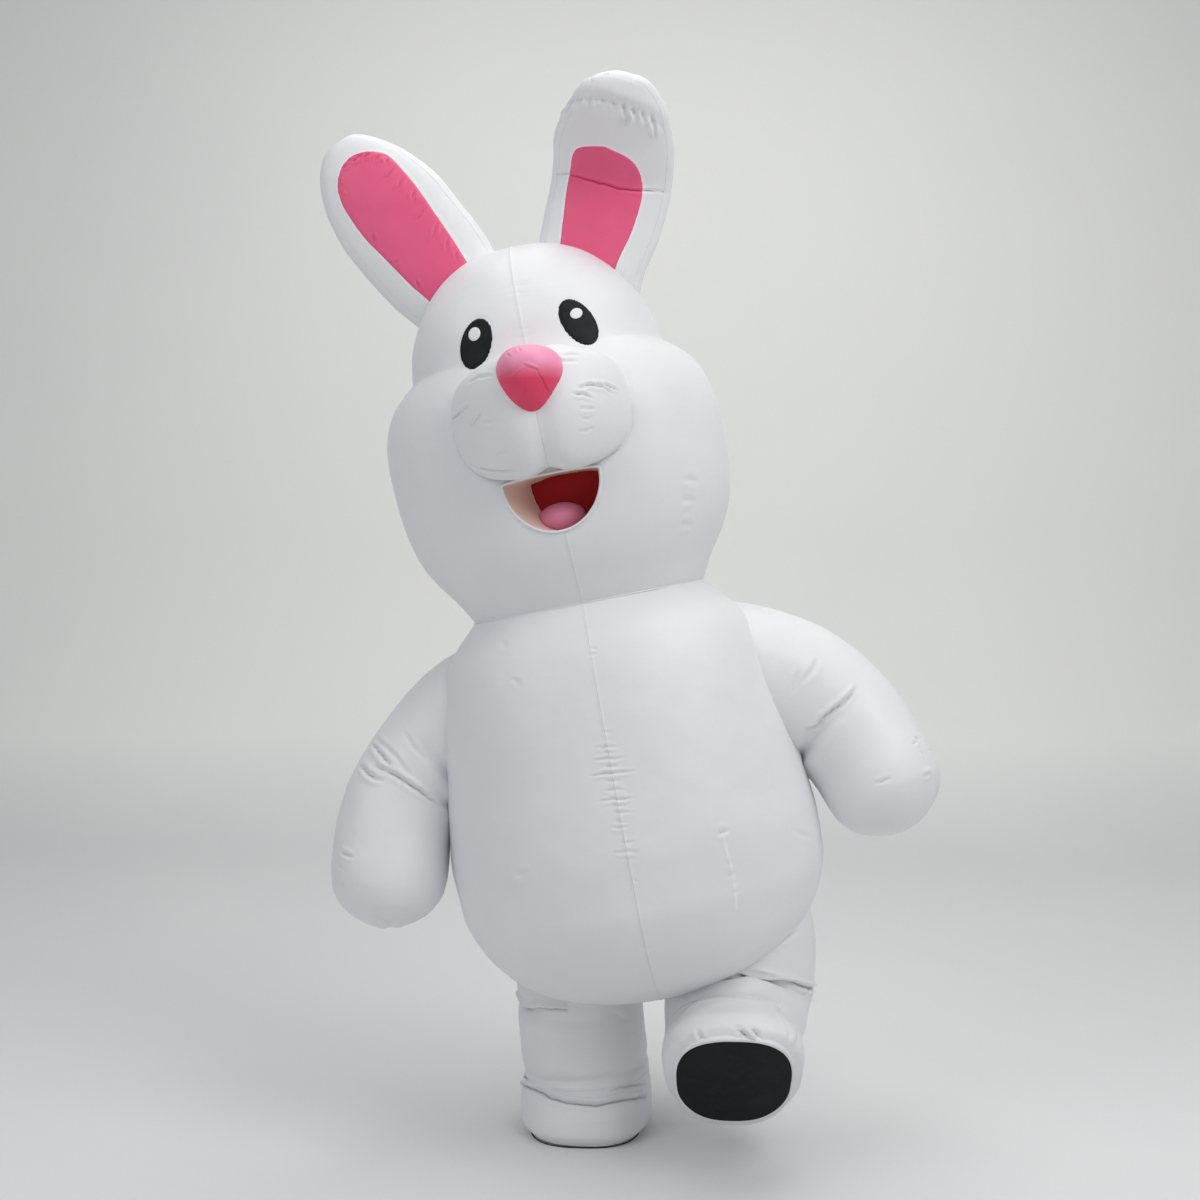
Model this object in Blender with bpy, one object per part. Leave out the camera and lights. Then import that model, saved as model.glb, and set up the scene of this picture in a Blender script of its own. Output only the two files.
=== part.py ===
"""An inflatable rabbit costume, worn and walking: a hollow body of thin cloth panels sewn edge to edge.

Every panel is a wall of even thickness laid on a smooth surface. A surface is a function of two numbers:
how far along the form (0 to 1) and the angle round it. The forms' own tables give their sections. The
front faces -Y and the wearer's right hand is at -X. Heights in the tables are above the floor; the origin
is at the wearer's shoulders, which carry the costume.
"""

import math

import bpy
import numpy as np


def table(names, *rows):
    """The rows of a table as its named columns."""
    return dict(zip(names.split(), zip(*rows)))


# Driving dimensions, in metres.
HOLD_HEIGHT = 1.38  # the shoulders that carry the costume, above the floor
WALL = 0.0025  # coated cloth with its seam allowance
SEAM_GAP = 0.0003  # between panels that are sewn together
LEAN = math.radians(11.0)  # the body leans to the wearer's right as it steps
NECK_X = -0.0275
NECK_HEIGHT = 1.335
HEAD_DRIFT = -0.020  # the head leans this much further for each metre up

RIGHT, LEFT = -1, 1
SIDE_NAMES = {RIGHT: "right", LEFT: "left"}

# Sections of the trunk along its leaning axis, measured down from the neck seam.
TRUNK = table(
    "up half_width front back",
    ( 0.000,  0.290,  0.250,  0.250),
    (-0.050,  0.338,  0.285,  0.280),
    (-0.100,  0.380,  0.318,  0.303),
    (-0.170,  0.406,  0.345,  0.320),
    (-0.260,  0.424,  0.368,  0.335),
    (-0.370,  0.437,  0.388,  0.346),
    (-0.490,  0.449,  0.407,  0.353),
    (-0.600,  0.459,  0.420,  0.358),
    (-0.700,  0.456,  0.420,  0.356),
    (-0.790,  0.428,  0.396,  0.338),
    (-0.862,  0.380,  0.352,  0.305),
    (-0.918,  0.312,  0.290,  0.255),
    (-0.958,  0.225,  0.210,  0.188),
    (-0.981,  0.118,  0.110,  0.100),
    (-0.989, 0.0015, 0.0015, 0.0015),
)
# Sections of the head, measured up from the neck seam. The cheeks swell out under a crease at eye level.
HEAD = table(
    "up half_width front back",
    (0.000,  0.290,  0.250,  0.250),
    (0.050,  0.318,  0.283,  0.283),
    (0.110,  0.360,  0.318,  0.320),
    (0.170,  0.389,  0.340,  0.350),
    (0.240,  0.407,  0.352,  0.370),
    (0.320,  0.416,  0.360,  0.382),
    (0.390,  0.418,  0.362,  0.386),
    (0.450,  0.413,  0.358,  0.382),
    (0.500,  0.400,  0.350,  0.372),
    (0.545,  0.375,  0.338,  0.356),
    (0.578,  0.342,  0.326,  0.340),
    (0.600,  0.316,  0.318,  0.328),
    (0.625,  0.312,  0.311,  0.320),
    (0.670,  0.303,  0.300,  0.306),
    (0.720,  0.283,  0.280,  0.284),
    (0.765,  0.257,  0.255,  0.257),
    (0.810,  0.222,  0.220,  0.221),
    (0.850,  0.175,  0.173,  0.174),
    (0.878,  0.117,  0.115,  0.116),
    (0.892,  0.052,  0.051,  0.052),
    (0.895, 0.0015, 0.0015, 0.0015),
)
ROUNDNESS = 0.94  # 1 is an ellipse and less is squarer

# Rows of a limb: where its centre line runs and its radius across and in depth, from inside the body out.
SLEEVES = {
    RIGHT: table(
        "x y height across deep",
        (-0.248,  0.000, 1.081, 0.165, 0.165),
        (-0.345,  0.000, 1.025, 0.158, 0.160),
        (-0.405, -0.010, 0.965, 0.148, 0.152),
        (-0.458, -0.030, 0.895, 0.143, 0.148),
        (-0.495, -0.055, 0.818, 0.143, 0.146),
        (-0.510, -0.080, 0.742, 0.144, 0.145),
        (-0.512, -0.100, 0.680, 0.144, 0.144),
    ),
    LEFT: table(
        "x y height across deep",
        (0.290,  0.010, 1.150, 0.190, 0.180),
        (0.370,  0.010, 1.140, 0.186, 0.175),
        (0.458,  0.010, 1.118, 0.178, 0.165),
        (0.545,  0.005, 1.075, 0.166, 0.155),
        (0.617, -0.010, 1.012, 0.154, 0.148),
        (0.662, -0.030, 0.950, 0.147, 0.146),
        (0.685, -0.045, 0.908, 0.145, 0.145),
    ),
}
MITT = table(
    "along share",
    (0.000, 1.000),
    (0.050, 0.955),
    (0.095, 0.790),
    (0.127, 0.510),
    (0.143, 0.230),
    (0.148, 0.010),
)
# Legs run down from inside the trunk to the ankle seam, where the foot takes over.
LEGS = {
    RIGHT: table(
        "x y height across",
        (-0.052, 0.045, 0.560, 0.156),
        (-0.056, 0.058, 0.440, 0.159),
        (-0.055, 0.073, 0.320, 0.162),
        (-0.048, 0.085, 0.220, 0.162),
    ),
    LEFT: table(
        "x y height across",
        (0.338, -0.015, 0.610, 0.172),
        (0.349, -0.025, 0.480, 0.187),
        (0.341, -0.069, 0.362, 0.181),
    ),
}
# The foot above its sole, from the ankle seam down.
FOOT = table(
    "lift across front back roundness heel_in",
    ( 0.130, 0.162, 0.166, 0.166, 1.000, 0.000),
    ( 0.100, 0.166, 0.184, 0.172, 0.960, 0.020),
    ( 0.065, 0.168, 0.210, 0.182, 0.900, 0.050),
    ( 0.030, 0.163, 0.221, 0.186, 0.840, 0.090),
    (0.0033, 0.136, 0.206, 0.174, 0.780, 0.130),
)
# The largest folds: where each lies along the limb and round it, how deep it is and how far it spreads.
SLEEVE_FOLDS = {
    RIGHT: (dict(place=0.215, angle=math.radians(-35), depth=0.024, length=0.020, spread=0.9),
            dict(place=0.300, angle=math.radians(-20), depth=0.012, length=0.018, spread=0.7)),
    LEFT: (dict(place=0.315, angle=math.radians(-145), depth=0.026, length=0.022, spread=0.9),),
}
LEG_FOLDS = {
    RIGHT: (dict(place=0.250, angle=math.radians(-130), depth=0.016, length=0.020, spread=0.9),
            dict(place=0.455, angle=math.radians(-80), depth=0.012, length=0.016, spread=1.4)),
    LEFT: (dict(place=0.300, angle=math.radians(-90), depth=0.018, length=0.028, spread=1.2),),
}
SOLE_CENTRE = {RIGHT: (-0.038, 0.090, 0.0), LEFT: (0.326, -0.250, 0.2000)}
TOE_LIFT = {RIGHT: 0.0, LEFT: math.radians(48)}
SOLE_THICKNESS = 0.003

EARS = {
    RIGHT: table(
        "x y height across deep",
        (-0.281, 0.000, 2.018, 0.125, 0.058),
        (-0.345, 0.000, 2.095, 0.132, 0.058),
        (-0.422, 0.000, 2.187, 0.149, 0.055),
        (-0.506, 0.000, 2.286, 0.152, 0.052),
        (-0.570, 0.000, 2.363, 0.137, 0.048),
        (-0.615, 0.000, 2.417, 0.108, 0.042),
        (-0.650, 0.000, 2.459, 0.070, 0.032),
        (-0.663, 0.000, 2.474, 0.042, 0.021),
        (-0.666, 0.000, 2.478, 0.002, 0.002),
    ),
    LEFT: table(
        "x y height across deep",
        (-0.040,  0.000, 2.060, 0.130, 0.058),
        (-0.025,  0.000, 2.162, 0.136, 0.058),
        ( 0.008,  0.000, 2.280, 0.148, 0.056),
        ( 0.028, -0.014, 2.366, 0.150, 0.052),
        ( 0.038, -0.070, 2.440, 0.148, 0.050),
        ( 0.040, -0.138, 2.504, 0.128, 0.045),
        ( 0.032, -0.200, 2.555, 0.080, 0.032),
        ( 0.030, -0.220, 2.571, 0.037, 0.018),
        ( 0.029, -0.226, 2.576, 0.002, 0.002),
    ),
}
# The two edges of each ear's pink lining, from inside the head up to its round tip: how far along the ear
# each point is, and how far across, as a share of the ear's half width towards the wearer's right.
EAR_LININGS = {
    RIGHT: table(
        "right_place right_share left_place left_share",
        (0.060,  0.490, 0.060, -0.430),
        (0.140,  0.520, 0.160, -0.470),
        (0.220,  0.550, 0.247, -0.515),
        (0.302,  0.580, 0.320, -0.560),
        (0.395,  0.620, 0.405, -0.610),
        (0.492,  0.630, 0.485, -0.660),
        (0.583,  0.565, 0.550, -0.690),
        (0.628,  0.415, 0.600, -0.620),
        (0.655,  0.200, 0.640, -0.420),
        (0.663, -0.040, 0.661, -0.160),
    ),
    LEFT: table(
        "right_place right_share left_place left_share",
        (0.060,  0.570, 0.050, -0.460),
        (0.150,  0.600, 0.128, -0.495),
        (0.203,  0.640, 0.182, -0.530),
        (0.268,  0.680, 0.230, -0.560),
        (0.345,  0.700, 0.285, -0.570),
        (0.410,  0.695, 0.335, -0.575),
        (0.455,  0.690, 0.390, -0.565),
        (0.485,  0.685, 0.443, -0.505),
        (0.525,  0.625, 0.480, -0.410),
        (0.540,  0.500, 0.508, -0.260),
        (0.546,  0.300, 0.532, -0.020),
        (0.547,  0.180, 0.545,  0.120),
    ),
}
EAR_SEAM = math.radians(28)  # the back panel wraps the ear's edge up to this angle

# The face, in the leaning frame: across from the middle and up from the neck seam.
MUZZLE = dict(across=-0.006, up=0.442, half_width=0.208, half_height=0.146)
MUZZLE_MIDDLE = dict(y=-0.395, bend=0.098, reach=0.088)  # its middle line bends back round the cheeks
MUZZLE_TURN = math.radians(140)  # how far its wall wraps round behind, above and below
MUZZLE_GROOVE = dict(share=0.13, width=0.032)  # how far its middle seam draws it in, and over what width
NOSE = dict(across=-0.006, up=0.483, half_width=0.091, half_height=0.101, turn=math.radians(9), back=-0.310,
            reach=0.215)
EYES = {
    RIGHT: dict(across=-0.126, up=0.638, half_width=0.0385, half_height=0.0615, tilt=math.radians(-23)),
    LEFT: dict(across=0.117, up=0.641, half_width=0.0370, half_height=0.0630, tilt=math.radians(23)),
}
EYE_CLOTH = 0.0015
# The mouth is a U: nearly straight under the muzzle and round below.
MOUTH = dict(across=-0.011, up=0.297, half_width=0.114, rise=0.008, drop=0.126)
MOUTH_BACK = dict(across=0.014, up=0.294, half_width=0.085, rise=0.014, drop=0.122)
WINDOW = dict(across=0.014, up=0.294, half_width=0.088, rise=0.017, drop=0.125)
MOUTH_BACK_Y = -0.220
TONGUE = dict(across=-0.012, up=0.206, half_width=0.058, half_height=0.037)
TONGUE_REACH = 0.070

# The entry zip down the middle of the back, as shares of the way down the trunk.
ZIP_START, ZIP_END = 0.012, 0.62
ZIP_HALF_WIDTH = 0.016
ZIP_TAPE = 0.0015
SLIDER_PLACE = 0.045
SLIDER = dict(width=0.016, length=0.022, height=0.005)
PIN_RADIUS = 0.0012
PIN_HEIGHT = 0.0085  # of the pull's hinge pin above the slider's underside
CHEEK_WIDTH = 0.002  # of each of the two ears that hold the pin
KNUCKLE_RADIUS = 0.0024
PULL = dict(width=0.008, length=0.036, thickness=0.0016)
RUNNING = 0.0002  # round the pin, and between the pull and the ears

TURN_OVER = 0.06  # share of a limb's length over which its sections turn at a bend

# How finely the forms are cut into facets: columns to each quarter of the body, and round the other forms.
QUARTER = 6
BODY_ROWS = 17
TRUNK_SIDES = 4 * QUARTER
LIMB_SIDES = 16
NOSE_SIDES = 15
MUZZLE_ARC = 13
OVAL_SIDES = 14
LINING_ROWS = 14


def smooth(values, place):
    """A curve through evenly placed values, read at places from 0 to 1. No stretch overshoots its ends."""
    values = np.asarray(values, float)
    steps = np.diff(values)
    slopes = np.concatenate([steps[:1], np.zeros(len(steps) - 1), steps[-1:]])
    same_way = steps[:-1] * steps[1:] > 0
    total = np.where(same_way, steps[:-1] + steps[1:], 1.0)
    slopes[1:-1] = np.where(same_way, 2 * steps[:-1] * steps[1:] / total, 0.0)
    where = np.clip(np.asarray(place, float), 0, 1) * len(steps)
    index = np.minimum(where.astype(int), len(steps) - 1)
    t = where - index
    start, end = values[index], values[index + 1]
    rise = t * t * (3 - 2 * t)
    bend = t * (1 - t) * ((1 - t) * slopes[index] - t * slopes[index + 1])
    return start + (end - start) * rise + bend


def signed_power(value, power):
    return np.sign(value) * np.abs(value) ** power


def stack(x, y, z):
    return np.stack(np.broadcast_arrays(x, y, z), axis=-1)


def unit(vectors):
    return vectors / np.maximum(np.linalg.norm(vectors, axis=-1, keepdims=True), 1e-12)


def leaning(across, y, up):
    """A point of the leaning frame, whose origin is the middle of the neck seam."""
    x = NECK_X + across * math.cos(LEAN) - up * math.sin(LEAN)
    z = NECK_HEIGHT - HOLD_HEIGHT + across * math.sin(LEAN) + up * math.cos(LEAN)
    return stack(x, y, z)


def body_surface(rows):
    """The trunk or the head: level sections of the leaning frame, whose front and back differ in depth."""

    def surface(s, a):
        sine = np.sin(a)
        depth = np.where(sine < 0, smooth(rows["front"], s), smooth(rows["back"], s))
        up = smooth(rows["up"], s)
        half_width = smooth(rows["half_width"], s)
        across = HEAD_DRIFT * np.maximum(up, 0) + half_width * signed_power(np.cos(a), ROUNDNESS)
        return leaning(across, depth * signed_power(sine, ROUNDNESS), up)

    return surface


def tube_surface(rows):
    """A limb or an ear round its centre line. Sine of the angle is negative in front."""
    front = rows.get("front", rows.get("deep", rows["across"]))
    back = rows.get("back", rows.get("deep", rows["across"]))

    def centre(s):
        return stack(smooth(rows["x"], s), smooth(rows["y"], s), smooth(rows["height"], s) - HOLD_HEIGHT)

    def surface(s, a):
        ahead = unit(centre(np.minimum(s + TURN_OVER, 1)) - centre(np.maximum(s - TURN_OVER, 0)))
        rear = unit(np.array([0.0, 1.0, 0.0]) - ahead * ahead[..., 1:2])
        side = np.cross(ahead, rear)
        power = smooth(rows["roundness"], s) if "roundness" in rows else 1.0
        dent = np.zeros(np.broadcast(s, a).shape)
        for fold in rows.get("folds", ()):
            turn = np.angle(np.exp(1j * (a - fold["angle"])))
            far = ((s - fold["place"]) / fold["length"]) ** 2 + (turn / fold["spread"]) ** 2
            dent += fold["depth"] * np.exp(-far)
        narrowing = 1 - smooth(rows["heel_in"], s) * np.sin(a) if "heel_in" in rows else 1.0
        wide = (smooth(rows["across"], s) - dent) * narrowing
        out = (wide * signed_power(np.cos(a), power))[..., None] * side
        depth = np.where(np.sin(a) < 0, smooth(front, s), smooth(back, s)) - dent
        return centre(s) + out + (depth * signed_power(np.sin(a), power))[..., None] * rear

    return surface


def disc_surface(point, size, tilt=0.0):
    """An oval on a face: s runs from its edge to its middle. point(across, up) gives the carrying surface."""

    def surface(s, a):
        x = (1 - s) * size["half_width"] * np.cos(a)
        z = (1 - s) * size["half_height"] * np.sin(a)
        across = size["across"] + x * math.cos(tilt) - z * math.sin(tilt)
        return point(across, size["up"] + x * math.sin(tilt) + z * math.cos(tilt))

    return surface


def normals(surface, s, a, facing):
    step = 1e-4
    low, high = np.clip(s - step, 0, 1), np.clip(s + step, 0, 1)
    along = surface(high, a) - surface(low, a)
    round_it = surface(s, a + step) - surface(s, a - step)
    out = unit(np.cross(along, round_it))
    if facing is None:
        ring = surface(np.full(16, 0.3), np.linspace(0, 2 * math.pi, 17)[:16])
        point = surface(np.array(0.3), np.array(0.1))
        near = surface(np.array(0.3 + step), np.array(0.1)) - surface(np.array(0.3 - step), np.array(0.1))
        turn = surface(np.array(0.3), np.array(0.1 + step)) - surface(np.array(0.3), np.array(0.1 - step))
        sign = np.sign(np.dot(np.cross(near, turn), point - ring.mean(axis=0)))
    else:
        sign = np.sign((out.reshape(-1, 3) @ np.asarray(facing, float)).sum())
    return out * sign, unit(along), unit(round_it)


def add_mesh(name, points, faces, cloth):
    mesh = bpy.data.meshes.new(name)
    mesh.from_pydata([tuple(map(float, p)) for p in points], [], faces)
    mesh.update()
    obj = bpy.data.objects.new(name, mesh)
    bpy.context.scene.collection.objects.link(obj)
    if cloth is not None:
        mesh.materials.append(cloth)
        mesh.shade_smooth()
        mesh.set_sharp_from_angle(angle=math.radians(50))
    return obj


def volume(points, faces):
    total = 0.0
    for face in faces:
        for i in range(1, len(face) - 1):
            total += np.dot(points[face[0]], np.cross(points[face[i]], points[face[i + 1]]))
    return total


def outward(points, faces):
    """The faces turned so that the solid isn't inside out."""
    points = points - points.mean(axis=0)
    return faces if volume(points, faces) > 0 else [tuple(reversed(f)) for f in faces]


def grid(surface, s_values, a_values, facing, lift, seams, closed, pole):
    """Points and normals over rows of s and columns of a, pulled back by half a seam gap at each seam."""
    s, a = np.meshgrid(s_values, a_values, indexing="ij")
    points = surface(s, a)
    if pole:
        near_pole = np.full(len(a_values), s_values[-1] - 0.004)
        out, along, round_it = normals(surface, np.vstack([s[:-1], near_pole]), a, facing)
        out[-1] = unit(out[-1].mean(axis=0))
        points[-1] = points[-1].mean(axis=0)
    else:
        out, along, round_it = normals(surface, s, a, facing)
    half = SEAM_GAP / 2
    if "start" in seams:
        points[0] += along[0] * half
    if "end" in seams:
        points[-1] -= along[-1] * half
    if not closed:
        points[:, 0] += round_it[:, 0] * half
        points[:, -1] -= round_it[:, -1] * half
    return points + out * lift, out


def split_cell(i, j, k, columns):
    """Two triangles between rows i and i + 1 and columns j and k, split alike on a wall and its cutter."""
    here, beside = i * columns + j, i * columns + k
    ahead, across = here + columns, beside + columns
    return [(here, ahead, across), (here, across, beside)]


def rim_faces(here, there, shift):
    """The wall's edge between two outer points, split the same way on both panels of a seam."""
    if here < there:
        return [(here, there, shift + there), (here, shift + there, shift + here)]
    return [(here, there, shift + here), (there, shift + there, shift + here)]


def wall(name, surface, s_values, a_values, cloth,
         facing=None, lift=0.0, thickness=WALL, seams="", pole=False):
    """A cloth panel of even thickness. It closes on itself when its angles run all the way round.

    facing is a direction that the panel's outer side mostly faces, or None on a form that is round.
    seams names the ends that stop short of a neighbour, and pole says that the last row is one point.
    """
    s_values, a_values = np.asarray(s_values, float), np.asarray(a_values, float)
    closed = abs(a_values[-1] - a_values[0] - 2 * math.pi) < 1e-6
    if closed:
        a_values = a_values[:-1]
    outer, out = grid(surface, s_values, a_values, facing, lift, seams, closed, pole)
    inner = outer - out * thickness
    rows, columns = outer.shape[:2]
    last = rows - 1 if pole and closed else rows
    outer_points = list(outer[:last].reshape(-1, 3))
    inner_points = list(inner[:last].reshape(-1, 3))
    if pole and closed:
        outer_points.append(outer[-1, 0])
        inner_points.append(inner[-1, 0])
    shift = len(outer_points)
    around = columns if closed else columns - 1
    faces = []
    for i in range(last - 1):
        for j in range(around):
            k = (j + 1) % columns
            for face in split_cell(i, j, k, columns):
                faces += [face, tuple(shift + v for v in reversed(face))]
    top = list(range(columns))
    bottom = list(range((last - 1) * columns, last * columns))
    if pole and closed:
        tip = last * columns
        for j in range(columns):
            triangle = (bottom[j], tip, bottom[(j + 1) % columns])
            faces += [triangle, tuple(shift + v for v in reversed(triangle))]
    if closed:
        loops = [top + top[:1]]
        if not pole:
            loops.append(bottom[:1] + bottom[::-1])
    else:
        right = [i * columns + columns - 1 for i in range(last)]
        left = [i * columns for i in range(last)]
        loops = [top + right[1:] + bottom[::-1][1:] + left[::-1][1:]]
    for loop in loops:
        for here, there in zip(loop, loop[1:]):
            faces += rim_faces(here, there, shift)
    points = np.array(outer_points + inner_points)
    return add_mesh(name, points, outward(points, faces), cloth)


def hide(cutter):
    """Leaves a Boolean's second object out of the model."""
    cutter.hide_render = True
    cutter.display_type = "WIRE"


def add_cutter(name, points, faces):
    cutter = add_mesh(name, points, outward(points, faces), None)
    hide(cutter)
    return cutter


def filled(name, surface, s_values, angles, lift=0.0):
    """A closed solid of a round surface moved out by lift, its ends capped: a cutter."""
    s, a = np.meshgrid(s_values, np.asarray(angles, float)[:-1], indexing="ij")
    out, _, _ = normals(surface, s, a, None)
    points = surface(s, a) + out * lift
    rows, columns = s.shape
    faces = []
    for i in range(rows - 1):
        for j in range(columns):
            k = (j + 1) % columns
            faces += split_cell(i, j, k, columns)
    faces.append(tuple(range(columns)))
    faces.append(tuple(reversed(range((rows - 1) * columns, rows * columns))))
    return add_cutter(name, points.reshape(-1, 3), faces)


def filled_dome(name, surface, s_values, a_values):
    """A closed solid from an open dome, moved out by the seam gap, to the chord between its long edges."""
    s, a = np.meshgrid(s_values, a_values, indexing="ij")
    out, _, _ = normals(surface, s, a, (0, -1, 0))
    points = surface(s, a) + out * SEAM_GAP
    rows, columns = s.shape
    faces = []
    for i in range(rows - 1):
        for j in range(columns - 1):
            faces += split_cell(i, j, j + 1, columns)
        ends = (i * columns, (i + 1) * columns, (i + 2) * columns - 1, (i + 1) * columns - 1)
        faces += [(ends[1], ends[0], ends[3]), (ends[1], ends[3], ends[2])]
    faces.append(tuple(range(columns)))
    faces.append(tuple(reversed(range((rows - 1) * columns, rows * columns))))
    return add_cutter(name, points.reshape(-1, 3), faces)


def combine(obj, other, operation):
    hide(other)
    modifier = obj.modifiers.new(operation.lower() + " " + other.name, "BOOLEAN")
    modifier.operation = operation
    modifier.solver = "EXACT"
    modifier.object = other


def cut(obj, cutter):
    combine(obj, cutter, "DIFFERENCE")


def material(name, colour, roughness, metallic=0.0):
    made = bpy.data.materials.new(name)
    made.use_nodes = True
    shader = made.node_tree.nodes["Principled BSDF"]
    shader.inputs["Base Color"].default_value = (*colour, 1)
    shader.inputs["Roughness"].default_value = roughness
    shader.inputs["Metallic"].default_value = metallic
    made.diffuse_color = (*colour, 1)
    return made


def ear_places(side):
    return np.linspace(0, 1, len(EARS[side]["height"]))


def quarter(index):
    """The angles of one quarter of a body section. 0 starts at the wearer's left and 1 at the back seam."""
    return np.linspace(index * math.pi / 2, (index + 1) * math.pi / 2, QUARTER + 1)


def full_turn(sides):
    return np.linspace(0, 2 * math.pi, sides + 1)


EAR_FRONT = np.linspace(-math.pi + EAR_SEAM, -EAR_SEAM, 8)
EAR_BACK = np.linspace(-EAR_SEAM, math.pi + EAR_SEAM, 10)
EAR_ANGLES = np.concatenate([EAR_FRONT, EAR_BACK[1:]])
PANELS = {"back_left": 0, "back_right": 1, "front_right": 2, "front_left": 3}


def body_panels(form, surface, cloth):
    """Four panels that meet at the side, front and back seams, from the neck seam to the pole."""
    rows = np.linspace(0, 1, BODY_ROWS)
    return {
        place: wall(f"{form}_{place}", surface, rows, quarter(index), cloth, seams="start")
        for place, index in PANELS.items()
    }


def sleeve_rows(side):
    """The sleeve's rows, with the rounded mitt added beyond its last one."""
    rows = {name: list(values) for name, values in SLEEVES[side].items()}
    rows["folds"] = SLEEVE_FOLDS[side]
    end = np.array([rows[name][-1] for name in ("x", "y", "height")])
    ahead = unit(end - np.array([rows[name][-2] for name in ("x", "y", "height")]))
    for along, share in list(zip(MITT["along"], MITT["share"]))[1:]:
        for name, value in zip(("x", "y", "height"), end + ahead * along):
            rows[name].append(value)
        rows["across"].append(SLEEVES[side]["across"][-1] * share)
        rows["deep"].append(SLEEVES[side]["deep"][-1] * share)
    return rows


def foot_up(side):
    return np.array([0.0, math.sin(TOE_LIFT[side]), math.cos(TOE_LIFT[side])])


def leg_rows(side):
    """The leg's rows from inside the trunk, with the foot's rows added down to the sole's edge."""
    rows = {name: list(values) for name, values in LEGS[side].items()}
    rows["front"] = list(rows["across"])
    rows["back"] = list(rows["across"])
    rows["roundness"] = [1.0] * len(rows["x"])
    rows["heel_in"] = [0.0] * len(rows["x"])
    rows["folds"] = LEG_FOLDS[side]
    for i, lift in enumerate(FOOT["lift"]):
        for name, value in zip(("x", "y", "height"), np.array(SOLE_CENTRE[side]) + foot_up(side) * lift):
            rows[name].append(value)
        for name in ("across", "front", "back", "roundness", "heel_in"):
            rows[name].append(FOOT[name][i])
    return rows


def face_point(across, up):
    """The point of the head's front at a place of the leaning frame."""
    places = np.linspace(0, 1, 4001)
    s = np.interp(up, smooth(HEAD["up"], places), places)
    share = (across - HEAD_DRIFT * up) / smooth(HEAD["half_width"], s)
    cosine = signed_power(np.clip(share, -0.999, 0.999), 1 / ROUNDNESS)
    return body_surface(HEAD)(s, -np.arccos(cosine))


def muzzle_surface(side):
    """Half of the muzzle, from the middle seam out to the cheek. The angle runs from its underside up."""

    def surface(s, a):
        swing = s * math.pi / 2
        out = MUZZLE["half_width"] * np.sin(swing)
        groove = MUZZLE_GROOVE["share"] * np.exp(-((out / MUZZLE_GROOVE["width"]) ** 2))
        size = np.maximum(np.cos(swing), 0.001) ** 0.6 * (1 - groove)
        up = MUZZLE["up"] + MUZZLE["half_height"] * size * np.sin(a)
        middle = MUZZLE_MIDDLE["y"] + MUZZLE_MIDDLE["bend"] * (out / MUZZLE["half_width"]) ** 2
        y = middle - MUZZLE_MIDDLE["reach"] * size * signed_power(np.cos(a), 0.85)
        return leaning(MUZZLE["across"] + side * (SEAM_GAP / 2 + out), y, up)

    return surface


def nose_surface(s, a):
    """A padded nose with three rounded corners, one of them pointing down."""
    swing = s * math.pi / 2
    spread = np.cos(swing) ** 0.78 * (1 + 0.07 * np.sin(3 * (a + NOSE["turn"])))
    across = NOSE["across"] + NOSE["half_width"] * spread * np.cos(a)
    up = NOSE["up"] + NOSE["half_height"] * (spread * np.sin(a) + 0.42 * np.sin(swing))
    return leaning(across, NOSE["back"] - NOSE["reach"] * np.sin(swing) ** 0.9, up)


def mouth_outline(size, a, grow=1.0):
    sine = np.sin(a)
    across = size["across"] + grow * size["half_width"] * np.cos(a)
    return across, size["up"] + grow * np.where(sine < 0, size["drop"], size["rise"]) * sine


def mouth_surface(s, a):
    """The tunnel from the face back to the window. Below 0 it runs on in front of the face."""
    rim = face_point(*mouth_outline(MOUTH, a))
    across, up = mouth_outline(MOUTH_BACK, a)
    return rim + (leaning(across, MOUTH_BACK_Y, up) - rim) * np.asarray(s)[..., None]


def mouth_cutter_surface(s, a):
    return mouth_surface(s * 1.5 - 0.5, a)


def ear_lining_surface(side):
    """The lining on the ear's front. For each row it runs across from the wearer's right edge to the left one."""
    rows = EAR_LININGS[side]
    ear = tube_surface(EARS[side])

    def surface(s, a):
        cross = (1 + np.asarray(a, float)) / 2
        edges = [smooth(rows[name], s) for name in ("right_place", "right_share", "left_place", "left_share")]
        place = edges[0] + (edges[2] - edges[0]) * cross
        return ear(place, -math.pi / 2 + np.arcsin(edges[1] + (edges[3] - edges[1]) * cross))

    return surface


def zip_surface(s, a):
    place = ZIP_START + (ZIP_END - ZIP_START) * s
    return body_surface(TRUNK)(place, math.pi / 2 + a * ZIP_HALF_WIDTH / smooth(TRUNK["half_width"], place))


def build_trunk(cloth, sleeves, legs):
    trunk = body_surface(TRUNK)
    panels = body_panels("trunk", trunk, cloth)
    for side, name in SIDE_NAMES.items():
        armhole = filled(f"armhole_{name}", sleeves[side], sleeve_places(side), full_turn(LIMB_SIDES), -WALL)
        leg_hole = filled(f"leg_hole_{name}", legs[side], leg_places(side), full_turn(LIMB_SIDES), -WALL)
        for place, panel in panels.items():
            if place.endswith(name):
                cut(panel, armhole)
            cut(panel, leg_hole)


def limb_places(rows, last, count):
    """Even places along a limb, with more beside each fold, so that the wall follows it."""
    places = list(np.linspace(0, last, count))
    for fold in rows["folds"]:
        near = [fold["place"] + step * fold["length"] for step in (-1.5, 0, 1.5)]
        places = [p for p in places if p in (0, last) or not near[0] - 0.02 < p < near[2] + 0.02] + near
    return np.array(sorted(places))


def sleeve_places(side):
    rows = sleeve_rows(side)
    return limb_places(rows, (len(SLEEVES[side]["x"]) - 1) / (len(rows["x"]) - 1), 8)


def mitt_places(side):
    rows = sleeve_rows(side)
    first = len(SLEEVES[side]["x"]) - 1
    return np.arange(first, len(rows["x"])) / (len(rows["x"]) - 1)


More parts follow.
